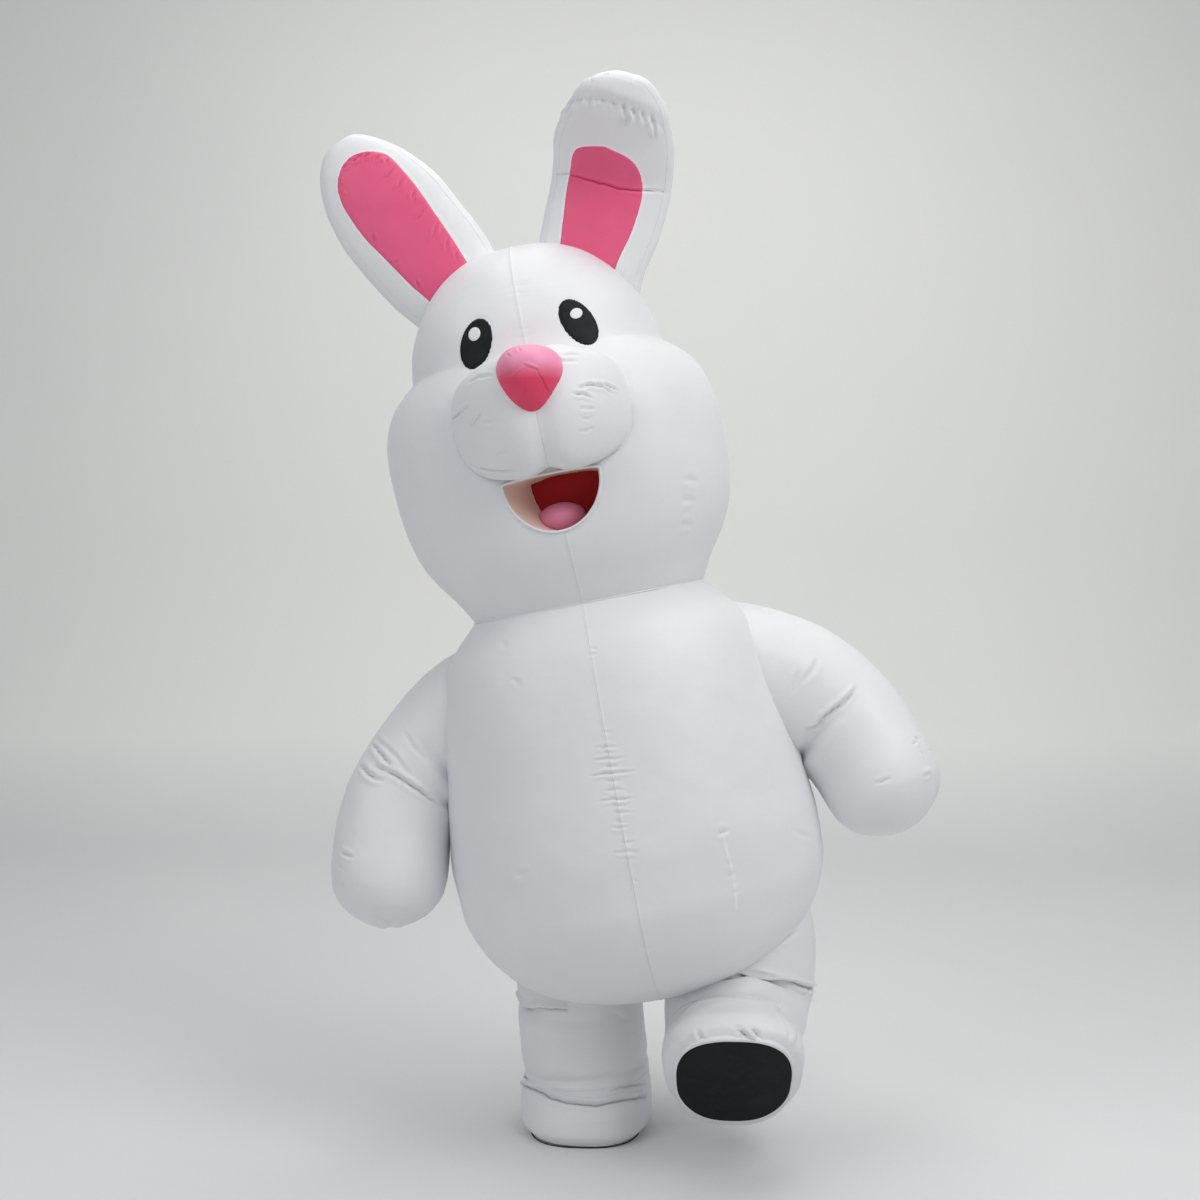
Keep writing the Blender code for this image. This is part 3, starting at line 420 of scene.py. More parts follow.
def scatter(x, y, z, seed):
    """A fixed random number from -1 to 1 for each cell of whole numbers."""
    n = (x * 73856093 ^ y * 19349663 ^ z * 83492791 ^ seed * 40503077) & 0xFFFFFFFF
    n = (n ^ (n >> 13)) * 1274126177 & 0xFFFFFFFF
    return ((n ^ (n >> 16)) & 0xFFFF) / 32767.5 - 1


def cells_of(place):
    """The cell of whole numbers that each place is in, and an eased share of the way through it."""
    cell = np.floor(place).astype(np.int64)
    t = place - cell
    return cell, t * t * (3 - 2 * t)


def ripple(place, seed):
    """Smooth random values along a line, one new value each whole step."""
    cell, t = cells_of(np.asarray(place, float))
    zero = np.zeros_like(cell)
    return scatter(cell, zero, zero, seed) * (1 - t) + scatter(cell + 1, zero, zero, seed) * t


def cloud(points, frequency, seed):
    """Smooth random values in space, changing about frequency times a metre."""
    cell, t = cells_of(points * frequency)
    total = np.zeros(points.shape[:-1])
    for corner in np.ndindex(2, 2, 2):
        share = np.prod(np.where(corner, t, 1 - t), axis=-1)
        total += share * scatter(*(cell[..., i] + corner[i] for i in range(3)), seed)
    return total


def spaced(start, end, count, pull=0.0):
    """Places from start to end, closer together at both ends as pull goes from 0 to 1."""
    t = np.linspace(0, 1, count)
    return start + (end - start) * (t - pull * np.sin(2 * math.pi * t) / (2 * math.pi))


def full_turn(count):
    """Angles once round, with the first again at the end."""
    return np.linspace(0, 2 * math.pi, count)


def crowded(count, spots):
    """Places from 0 to 1, closer together at each spot: (where it is, how far it reaches, how close)."""
    t = np.linspace(0, 1, 4001)
    density = 1 + sum(more * np.exp(-(((t - where) / reach) ** 2)) for where, reach, more in spots)
    run = np.cumsum(density) - density[0]
    return np.interp(np.linspace(0, 1, count), run / run[-1], t)


def run_of(points, axis=0):
    """Lengths along a line or along a grid's rows or columns, from their first point."""
    steps = np.linalg.norm(np.diff(points, axis=axis), axis=-1)
    start = np.zeros_like(np.take(steps, [0], axis=axis))
    return np.concatenate([start, np.cumsum(steps, axis=axis)], axis=axis)


def four(grid):
    """The corners of each cell of a grid, in their order round it."""
    return grid[:-1, :-1], grid[:-1, 1:], grid[1:, 1:], grid[1:, :-1]


def outward(points, quads, reference):
    """The faces, all turned over if they point away from their reference vectors."""
    across = np.cross(points[quads[:, 2]] - points[quads[:, 0]], points[quads[:, 3]] - points[quads[:, 1]])
    return quads[:, ::-1] if (across * reference).sum() < 0 else quads


def seam_relief(far, along, seed, strength, reach, depth=SEAM_DEPTH, width=SEAM_WIDTH):
    """A seam drawn in, the cloth swelling beside it, and the small folds that run out from it.

    far is the distance from the seam and along is the place on it.
    """
    slant = 0.45 * ripple(along * 9, seed + 1)
    place = along + slant * far
    fine = (1 - np.abs(ripple(place * 75, seed))) ** 5
    coarse = (1 - np.abs(ripple(place * 33, seed + 2))) ** 7
    cluster = np.clip(0.55 + 0.9 * ripple(along * 7, seed + 3), 0.05, 1.4)
    spread = reach * (0.75 + 0.5 * ripple(along * 24, seed + 4))
    folds = 0.55 * fine * np.exp(-far / (0.5 * spread)) + coarse * np.exp(-far / spread)
    return -depth * np.exp(-far / width) - strength * cluster * PUCKER_DEPTH * folds


def fine_path(path, step=0.004, closed=False):
    """A smooth line through a path's points, in even short steps."""
    path = np.asarray(path, float)
    if closed:
        path = np.vstack([path, path[:1]])
    if len(path) > 2:
        places = np.linspace(0, 1, 40 * len(path))
        path = np.stack([smooth(column, places) for column in path.T], axis=-1)
    run = run_of(path)
    where = np.linspace(0, run[-1], max(int(run[-1] / step), 4))
    return np.stack([np.interp(where, run, column) for column in path.T], axis=-1)


def beside_path(points, out, path, limit):
    """Where the points near a path are: which they are, how far to its side, and how far along it."""
    low, high = path.min(axis=0) - limit, path.max(axis=0) + limit
    near = np.flatnonzero(((points > low) & (points < high)).all(axis=1))
    if not len(near):
        return near, None, None, 0.0
    run, ahead = run_of(path), unit(np.gradient(path, axis=0))
    closest = np.concatenate([
        np.linalg.norm(points[part, None] - path[None], axis=-1).argmin(axis=1)
        for part in np.array_split(near, len(near) // 4000 + 1)
    ])
    away = points[near] - path[closest]
    facing = (np.abs(away) < limit).all(axis=1) & (np.abs((away * out[near]).sum(axis=1)) < 0.7 * limit)
    near, closest, away = near[facing], closest[facing], away[facing]
    side = unit(np.cross(ahead[closest], out[near]))
    return near, (away * side).sum(axis=1), run[closest] + (away * ahead[closest]).sum(axis=1), run[-1]


def add_creases(height, shade, points, out, creases):
    """Adds to each point's height the valley and the swelling lips of every crease near it, and paints shade
    along its line.
    """
    for crease in creases:
        near, far, along, length = beside_path(points, out, fine_path(crease["path"]), CREASE_REACH)
        if not len(near):
            continue
        taper = np.sin(math.pi * np.clip(along / length, 0, 1)) ** crease.get("taper", 0.5)
        width = crease["width"] * (0.5 + 0.5 * taper)
        wander = far + 0.0015 * ripple(along * 60, 7)
        valley = crease["depth"] * np.exp(-np.abs(wander) / width)
        lip = np.exp(-(((np.abs(wander) - 2.4 * width) / (1.6 * width)) ** 2))
        lean_to = 1 - crease.get("over", 0.0) * np.sign(wander)
        height[near] += taper * (crease.get("lip", 0.4) * crease["depth"] * lip * lean_to - valley)
        # Painted shade along the crease's line, as strong as its dark says.
        line = crease.get("dark", 0.6) * taper * np.exp(-((wander / (0.7 * width)) ** 2))
        shade[near] = np.maximum(shade[near], line)


def add_seams(height, shade, points, out, seams):
    """Adds the seams that are sewn along a path rather than along a panel's edge."""
    for seam in seams:
        closed, depth = seam.get("closed", False), seam.get("depth", SEAM_DEPTH)
        path = fine_path(seam["path"], closed=closed)
        near, far, along, length = beside_path(points, out, path, SEAM_REACH)
        if not len(near):
            continue
        inside = 1.0 if closed else np.clip(20 * np.minimum(along, length - along) / length, 0, 1)
        puckers = (seam["seed"], seam["strength"], seam["reach"])
        height[near] += inside * seam_relief(np.abs(far), along, *puckers, depth)
        # Painted light along a seam that stands up, and painted shade along the others.
        if depth < 0:
            shade[near] -= inside * np.exp(-((far / 0.0022) ** 2))
        else:
            shade[near] = np.maximum(shade[near], SEAM_SHADE * inside * np.exp(-np.abs(far) / SEAM_WIDTH))


def probe(surface, rows, a_values, facing=None):
    """A tree of a surface's faces, which point outwards, to measure how far other points are from it."""
    s, a = np.meshgrid(np.linspace(0, 1, rows), a_values, indexing="ij")
    points = surface(s, a)
    if facing is None:
        points[0] = points[0].mean(axis=0)  # the open start is closed by its own middle
    quads = np.stack(four(np.arange(s.size).reshape(s.shape)), axis=-1).reshape(-1, 4)
    flat = points.reshape(-1, 3)
    reference = np.array(facing) if facing is not None else flat[quads].mean(axis=1) - flat.mean(axis=0)
    return BVHTree.FromPolygons(flat.tolist(), outward(flat, quads, reference).tolist(), epsilon=0.0)


def clearance(tree, points):
    """How far each point is outside a form. It is negative inside, and FAR where it is farther."""
    away = np.full(len(points), FAR)
    for index, point in enumerate(points.tolist()):
        place, normal, _, distance = tree.find_nearest(point, FAR)
        if place is not None:
            outside = sum((p - q) * n for p, q, n in zip(point, place, normal)) >= 0
            away[index] = distance if outside else -distance
    return away


def new_object(name, points, faces, cloth, uv=None, shade=None, smooth_shading=True):
    mesh = bpy.data.meshes.new(name)
    mesh.from_pydata(points.tolist(), [], faces)
    if uv is not None:
        layer = mesh.uv_layers.new(name="cloth")
        corners = np.empty(len(mesh.loops), np.int32)
        mesh.loops.foreach_get("vertex_index", corners)
        layer.data.foreach_set("uv", uv[corners].astype(np.float32).ravel())
    # The crease attribute is painted shade along creases and seams, and painted light where it is below 0.
    if shade is not None:
        attribute = mesh.attributes.new("crease", "FLOAT", "POINT")
        attribute.data.foreach_set("value", shade.astype(np.float32))
    mesh.materials.append(cloth)
    if smooth_shading:
        mesh.shade_smooth()
    mesh.update()
    obj = bpy.data.objects.new(name, mesh)
    bpy.context.scene.collection.objects.link(obj)
    return obj


GRID_EDGES = {"start": (0, 0), "end": (0, -1), "left": (1, 0), "right": (1, -1)}  # the axis and the index


def turned_in(grid, sides, out=None):
    """The grid with its outer rows or columns repeated, moved against out: a seam's folded allowance."""
    for axis, end in (GRID_EDGES[side] for side in sides):
        order = 1 if end else -1
        edge = np.take(grid, [end], axis=axis)
        if out is not None:
            border = np.take(out, [end], axis=axis)
            edge = edge - SEAM_TURN_IN * border
            out = np.concatenate([out, border][::order], axis=axis)
        grid = np.concatenate([grid, edge][::order], axis=axis)
    return grid


def from_edge(edge, down, round_it, closed):
    """How far each point of a panel is from an edge, or from a line down it, and its place along that."""
    if edge in ("start", "end"):
        row = [GRID_EDGES[edge][1]]
        far = np.abs(down - down[row])
        along = np.broadcast_to(round_it[row], far.shape)
    else:
        column = [round({"left": 0.0, "right": 1.0}.get(edge, edge) * (down.shape[1] - 1))]
        far = np.abs(round_it - round_it[:, column])
        if closed:
            far = np.minimum(far, round_it[:, -1:] - far)
        along = np.broadcast_to(down[:, column], far.shape)
    return far.ravel(), along.ravel()


SHEETS = []  # the cut of each panel, printed at the end


def declare(obj, extent, area, padded_fill):
    """Lists how the cloth of a piece was cut, unless it is padded."""
    if padded_fill is not None:
        return obj
    wide, long = sorted(extent)
    long = max(long, 1.02 * area / wide)
    if area < 0.32 * wide * long:
        wide = area / (0.36 * long)
    SHEETS.append((obj.name, wide, long, area))
    return obj


def panel(name, surface, s_values, a_values, cloth, node=None, *, wave, seed, facing=None, seams=(), near=(),
          paths=(), creases=(), folded=(), closed=False, pole=False, lift=0.0, drop=(), hole=None,
          padded_fill=None):
    """One cloth panel as a fine mesh, in the place of a CAD node if one is named.

    The columns of a closed one meet, and the last row of one with a pole is one point. wave is how far the
    cloth undulates. seams are sewn along its edges: (edge, seed, strength, reach), and a depth where it isn't
    the usual one. near are the forms that it is sewn to: (tree, where round it, seed, strength, reach), and
    a function for the depth where it varies. paths are other seams. It is cut off where it runs into the
    forms in drop. Its cut is listed in SHEETS unless padded_fill is given.
    """
    s, a = np.meshgrid(s_values, a_values, indexing="ij")
    out = normals(surface, np.minimum(s, s_values[-1] - POLE_MARGIN) if pole else s, a, facing)[0]
    base = surface(s, a)
    if pole:
        base[-1], out[-1] = base[-1].mean(axis=0), unit(out[-1].mean(axis=0))
    rows, columns = s.shape
    keep = np.ones((rows - 1, columns - 1), bool)
    if hole is not None:
        base, gone = hole(base)
        keep &= ~np.any(four(gone), axis=0)
    down, round_it = run_of(base, 0), run_of(base, 1)
    flat, flat_out = base.reshape(-1, 3), out.reshape(-1, 3)
    height, shade = np.zeros(rows * columns), np.zeros(rows * columns)
    height += wave * cloud(flat, 8.5, seed) + 0.35 * wave * cloud(flat, 21, seed + 1)
    height += 0.00022 * cloud(flat, 60, seed + 2)
    for edge, edge_seed, strength, reach, *depth in seams:
        far, along = from_edge(edge, down, round_it, closed)
        height += seam_relief(far, along, edge_seed, strength, reach, *depth)
        # Painted shade along a seam of the usual depth, and painted light along one that stands up.
        if not depth:
            shade = np.maximum(shade, SEAM_SHADE * np.exp(-far / SEAM_WIDTH))
        elif depth[0] < 0:
            shade -= np.exp(-((far / 0.0024) ** 2))
    others = {id(tree): tree for tree in (*drop, *(join[0] for join in near))}
    away = {key: clearance(tree, flat) for key, tree in others.items()}
    for tree, where, near_seed, strength, reach, *groove in near:
        far = np.abs(away[id(tree)])
        depth, width = (groove[0](flat), GROOVE_WIDTH) if groove else (SEAM_DEPTH, SEAM_WIDTH)
        height += seam_relief(far, where(flat), near_seed, strength, reach, depth, width)
        # Painted shade in the groove where the panel is sewn to a form.
        shade = np.maximum(shade, np.clip(0.3 * depth / SEAM_DEPTH, 0, 0.75) * np.exp(-far / width))
    add_creases(height, shade, flat, flat_out, creases)
    add_seams(height, shade, flat, flat_out, paths)
    extra = lift(s, a, base).ravel() if callable(lift) else lift
    points = (flat + flat_out * (height + extra)[:, None]).reshape(rows, columns, 3)
    if closed:
        points[:, -1] = points[:, 0]
    if pole:
        points[-1] = points[-1].mean(axis=0)
    for tree in drop:
        keep &= ~np.all(four((away[id(tree)] < -TRIM_DEPTH).reshape(rows, columns)), axis=0)
    corners = four(base)
    cell = np.linalg.norm(np.cross(corners[2] - corners[0], corners[3] - corners[1]), axis=-1) / 2
    area = float(cell[keep].sum())

    points = turned_in(points, folded, out)
    uv = turned_in(np.stack([round_it, down], axis=-1), folded).reshape(-1, 2)
    shade, keep, out = (turned_in(grid, folded) for grid in (shade.reshape(rows, columns), keep, out))
    index = np.arange(shade.size).reshape(shade.shape)
    if closed:
        index[:, -1] = index[:, 0]
    if pole:
        index[-1] = index[-1, 0]
    flat = points.reshape(-1, 3)
    quads = np.stack(four(index), axis=-1)[keep]
    quads = outward(flat, quads, out.reshape(-1, 3)[quads[:, 0]])
    used, packed = np.unique(quads, return_inverse=True)
    faces = [list(dict.fromkeys(face)) for face in packed.reshape(quads.shape).tolist()]
    faces = [face for face in faces if len(face) > 2]  # without those that a pole draws together to a line
    obj = new_object(name, flat[used], faces, cloth, uv[used], shade.ravel()[used])
    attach(obj, "costume")
    declare(obj, (float(round_it.max()), float(down.max())), area, padded_fill)
    fill_slot(node)


def fill_slot(node=None):
    """Hides the CAD node that a piece takes the place of, if it has one."""
    if node is not None:
        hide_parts(node)


def rope(name, path, radius, cloth):
    """A round bead along a closed path, such as piping in a seam."""
    sides, step = 8, 0.004
    line = fine_path(path, step, True)[:-1]
    ahead = unit(np.roll(line, -1, axis=0) - np.roll(line, 1, axis=0))
    away = line - line.mean(axis=0)
    side = unit(away - ahead * (away * ahead).sum(axis=1, keepdims=True))
    up = np.cross(ahead, side)
    turn = ring(sides)
    rows = len(line)
    run = np.arange(rows) * step
    print(f"cord {name} {rows * step:.3f} m")
    size = radius * (1 + 0.08 * ripple(run * 120, 5))
    rings = line[:, None] + size[:, None, None] * (
        np.cos(turn)[None, :, None] * side[:, None] + np.sin(turn)[None, :, None] * up[:, None])
    index = np.arange(rows * sides).reshape(rows, sides)
    index = np.pad(index, ((0, 1), (0, 1)), mode="wrap")
    uv = np.stack([np.tile(turn * radius, rows), np.repeat(run, sides)], axis=-1)
    faces = np.stack(four(index), axis=-1).reshape(-1, 4).tolist()
    obj = new_object(name, rings.reshape(-1, 3), faces, cloth, uv)
    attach(obj, "costume")
    fill_slot()


class Nodes:
    """A material's node tree, with short calls for its common parts."""

    def __init__(self, name, roughness, metallic=0.0, sheen=0.0, specular=0.5):
        self.material = bpy.data.materials.new(name)
        self.material.use_nodes = True
        self.tree = self.material.node_tree
        self.shader = self.tree.nodes["Principled BSDF"]
        for socket, value in (("Roughness", roughness), ("Metallic", metallic), ("Sheen Weight", sheen),
                              ("Sheen Roughness", 0.4), ("Specular IOR Level", specular)):
            self.shader.inputs[socket].default_value = value
        self.coordinates = self.tree.nodes.new("ShaderNodeTexCoord")
        self.bumped = None

    def add(self, kind, links=(), **values):
        node = self.tree.nodes.new(kind)
        for key, value in values.items():
            if key in node.inputs:
                node.inputs[key].default_value = value
            else:
                setattr(node, key, value)
        for socket, source in dict(links).items():
            self.tree.links.new(source, node.inputs[socket])
        return node

    def fill(self, node, values):
        """Sets or links a node's sockets, each given as a number, a colour or another node's output."""
        for socket, value in values.items():
            if isinstance(value, (int, float)):
                node.inputs[socket].default_value = value
            elif isinstance(value, tuple):
                node.inputs[socket].default_value = (*value, 1)
            else:
                self.tree.links.new(value, node.inputs[socket])

    def noise(self, scale, detail=3.0, roughness=0.5, distortion=0.0):
        node = self.add("ShaderNodeTexNoise", {"Vector": self.coordinates.outputs["Object"]},
                        Scale=scale, Detail=detail, Roughness=roughness, Distortion=distortion)
        return node.outputs["Fac"]

    def threads(self, pitch, direction):
        """Threads of a weave running one way, pitch metres apart."""
        node = self.add("ShaderNodeTexWave", {"Vector": self.coordinates.outputs["UV"]},
                        Scale=0.3142 / pitch, bands_direction=direction, Distortion=0.15)
        return node.outputs["Fac"]

    def weave(self, pitch):
        return self.calculate("MULTIPLY", self.threads(pitch, "X"), self.threads(pitch, "Y"))

    def height(self):
        return self.add("ShaderNodeSeparateXYZ", {"Vector": self.coordinates.outputs["Object"]}).outputs["Z"]

    def crease(self):
        # The painted shade (above 0) and painted light (below 0) of creases and seams.
        return self.add("ShaderNodeAttribute", attribute_name="crease").outputs["Fac"]

    def spread(self, source, low, high, to_low=0.0, to_high=1.0):
        node = self.add("ShaderNodeMapRange", {"Value": source})
        self.fill(node, {"From Min": low, "From Max": high, "To Min": to_low, "To Max": to_high})
        return node.outputs["Result"]

    def calculate(self, operation, first, second):
        node = self.add("ShaderNodeMath", operation=operation)
        self.fill(node, {0: first, 1: second})
        return node.outputs["Value"]

    def mix(self, factor, first, second):
        node = self.add("ShaderNodeMix", data_type="RGBA")
        self.fill(node, {0: factor, 6: first, 7: second})
        return node.outputs[2]

    def blend(self, source, low, high, first, second, *shares):
        """From the first colour to the second as the source runs from low to high, or between two shares."""
        return self.mix(self.spread(source, low, high, *shares), first, second)

    def bump(self, source, distance, strength):
        links = {"Height": source}
        if self.bumped is not None:
            links["Normal"] = self.bumped
        node = self.add("ShaderNodeBump", links, Distance=distance, Strength=strength)
        self.bumped = node.outputs["Normal"]
        self.tree.links.new(self.bumped, self.shader.inputs["Normal"])

    def finish(self, relief, distance, strength, **sources):
        """Links the shader's inputs, adds the finest relief and gives the material."""
        self.bump(relief, distance, strength)
        for name, source in sources.items():
            self.tree.links.new(source, self.shader.inputs[name.replace("_", " ")])
        return self.material


def satin(name, light, dark, weave_gap_and_crease_shade, roughness=0.45, sheen=0.06, specular=0.4, painted_top_light=None):
    """Coated satin polyester: a close weave, small pressed-in wrinkles, painted shade along creases and
    seams, and painted light along raised seams.

    painted_top_light is painted light, paler higher up: the colour that it blends into between two
    heights: (low, high, colour).
    """
    made = Nodes(name, roughness, sheen=sheen, specular=specular)
    colour = made.blend(made.noise(5.0, 4.0, 0.55), 0.35, 0.65, light, dark)
    # Painted light: paler higher up.
    if painted_top_light:
        colour = made.blend(made.height(), *painted_top_light[:2], colour, painted_top_light[2])
    weave = made.weave(0.0009)
    colour = made.blend(weave, 0.0, 1.0, colour, weave_gap_and_crease_shade, 0.06, 0.0)
    # Painted shade: darker along creases and seams, as the crease attribute says.
    colour = made.blend(made.crease(), 0.3, 1.0, colour, weave_gap_and_crease_shade, 0.0, 0.8)
    # Painted light: a paler colour along seams that stand up, where the crease attribute is below 0.
    ridge = tuple(min(0.97, 0.04 + 1.1 * channel) for channel in light)
    colour = made.blend(made.crease(), -1.0, 0.0, colour, ridge, 0.8, 0.0)
    rough = made.spread(made.noise(38.0, 2.0), 0.3, 0.7, roughness - 0.05, roughness + 0.06)
    made.bump(made.noise(46.0, 3.0, 0.5, 0.6), 0.0005, 0.5)
    return made.finish(weave, 0.00008, 0.5, Base_Color=colour, Roughness=rough)


def sole_cloth(name, light, dark, roughness):
    """A coated sole cloth with a fine irregular grain and scuffs."""
    made = Nodes(name, roughness, specular=0.2)
    grain = made.noise(420.0, 2.0, 0.6)
    scuff = made.noise(14.0, 6.0, 0.7, 0.4)
    colour = made.blend(scuff, 0.52, 0.74, dark, light)
    colour = made.blend(grain, 0.55, 0.75, colour, light, 0.0, 0.5)
    rough = made.spread(scuff, 0.3, 0.7, roughness - 0.08, roughness + 0.1)
    return made.finish(grain, 0.0005, 0.6, Base_Color=colour, Roughness=rough)


def netting(name, light, dark):
    """The see-through window of the mouth: a knit of fine holes."""
    made = Nodes(name, 0.7, sheen=0.2, specular=0.25)
    holes = made.weave(0.0024)
    colour = made.blend(holes, 0.25, 0.7, light, dark)
    colour = made.blend(made.noise(9.0), 0.35, 0.7, colour, dark, 0.0, 0.35)
    return made.finish(holes, 0.0005, 0.6, Base_Color=colour)


def twill(name, light, dark):
    """Zip tape: a close twill with a duller rib."""
    made = Nodes(name, 0.7, sheen=0.2, specular=0.3)
    ribs = made.threads(0.0012, "DIAGONAL")
    colour = made.blend(ribs, 0.1, 0.6, light, dark, 1.0, 0.0)
    colour = made.blend(made.noise(25.0), 0.4, 0.7, colour, dark, 0.0, 0.2)
    return made.finish(ribs, 0.00025, 0.6, Base_Color=colour)


def worn_metal(name, light, dark):
    """Cast zinc with fine brushing and a duller film."""
    made = Nodes(name, 0.3, metallic=1.0)
    film = made.noise(900.0, 3.0, 0.6)
    colour = made.blend(made.noise(220.0, 2.0), 0.35, 0.7, light, dark)
    rough = made.spread(film, 0.3, 0.7, 0.22, 0.42)
    return made.finish(film, 0.00006, 0.5, Base_Color=colour, Roughness=rough)


def thread(name, light, dark):
    """Sewing thread: two plies twisted together."""
    made = Nodes(name, 0.55, sheen=0.3, specular=0.35)
    plies = made.noise(1600.0, 2.0)
    return made.finish(plies, 0.0001, 0.5, Base_Color=made.blend(plies, 0.35, 0.65, light, dark))


white = satin("satin_white", (0.86, 0.865, 0.885), (0.83, 0.838, 0.862), (0.48, 0.49, 0.52))
pink = satin("satin_pink", (0.88, 0.125, 0.270), (0.84, 0.110, 0.245), (0.50, 0.04, 0.11), roughness=0.48)
# The nose is painted paler towards its top, as if lit from above.
nose_pink = satin("satin_nose", (0.86, 0.060, 0.150), (0.82, 0.050, 0.130), (0.42, 0.02, 0.06), roughness=0.5,
                  painted_top_light=(0.448, 0.488, (0.97, 0.36, 0.56)))
tongue_pink = satin("satin_tongue", (0.93, 0.33, 0.53), (0.90, 0.29, 0.49), (0.55, 0.10, 0.20), roughness=0.5)
peach = satin("satin_peach", (0.95, 0.76, 0.68), (0.93, 0.72, 0.64), (0.55, 0.28, 0.24), roughness=0.55)
red_net = netting("net_dark_red", (0.55, 0.020, 0.022), (0.26, 0.006, 0.008))
black_sole = sole_cloth("sole_black", (0.017, 0.018, 0.023), (0.0052, 0.0058, 0.0085), 0.66)
black_eye = satin("satin_black", (0.007, 0.008, 0.010), (0.005, 0.006, 0.008), (0.003, 0.003, 0.004),
                  roughness=0.55, sheen=0.0, specular=0.2)
eye_white = satin("satin_highlight", (0.86, 0.865, 0.875), (0.84, 0.845, 0.855), (0.6, 0.6, 0.62))
tape_cloth = twill("tape_twill", (0.78, 0.79, 0.81), (0.60, 0.61, 0.64))
metal = worn_metal("zinc", (0.62, 0.62, 0.63), (0.42, 0.42, 0.44))
tooth_metal = worn_metal("zip_teeth_metal", (0.66, 0.66, 0.67), (0.45, 0.45, 0.47))
white_thread = thread("thread_white", (0.80, 0.81, 0.83), (0.62, 0.63, 0.66))
black_thread = thread("thread_black", (0.02, 0.02, 0.022), (0.008, 0.008, 0.009))

SLOT_CLOTHS = {
    "white_cloth": (white, eye_white),
    "pink_cloth": (pink, nose_pink, tongue_pink),
    "peach_cloth": (peach,),
    "dark_red_mesh": (red_net,),
    "black_cloth": (black_sole, black_eye, black_thread),
    "zip_tape": (tape_cloth, white_thread),
    "zip_metal": (tooth_metal,),
}
SLOTS = {cloth.name: slot for slot, cloths in SLOT_CLOTHS.items() for cloth in cloths}


def line(*points):
    """A path through points given in millimetres."""
    return np.array(points) / 1000


def fold(depth, width, *points, **shape):
    """A crease given point by point, in millimetres.

    shape says how far its lips swell, how much more one of them swells (over), how dark the shade painted
    along its line is and how early it tapers.
    """
    return dict(path=line(*points), depth=depth / 1000, width=width / 1000, **shape)


# Seams across the left ear's bent tip, beside the muzzle down the cheek, and at the belly's dart.
TIP_SEAM = line((-95, -140, 1128), (-75, -168, 1139), (-37, -201, 1141), (11, -209, 1138), (69, -193, 1123),
                (128, -165, 1107), (158, -130, 1090))
CHEEK_DART = line((222, -238, 262), (220, -238, 196), (214, -230, 118))
BELLY_DART = line((297, -374, -556), (304, -376, -595), (314, -374, -629), (321, -373, -656),
                  (327, -373, -702), (331, -370, -740))
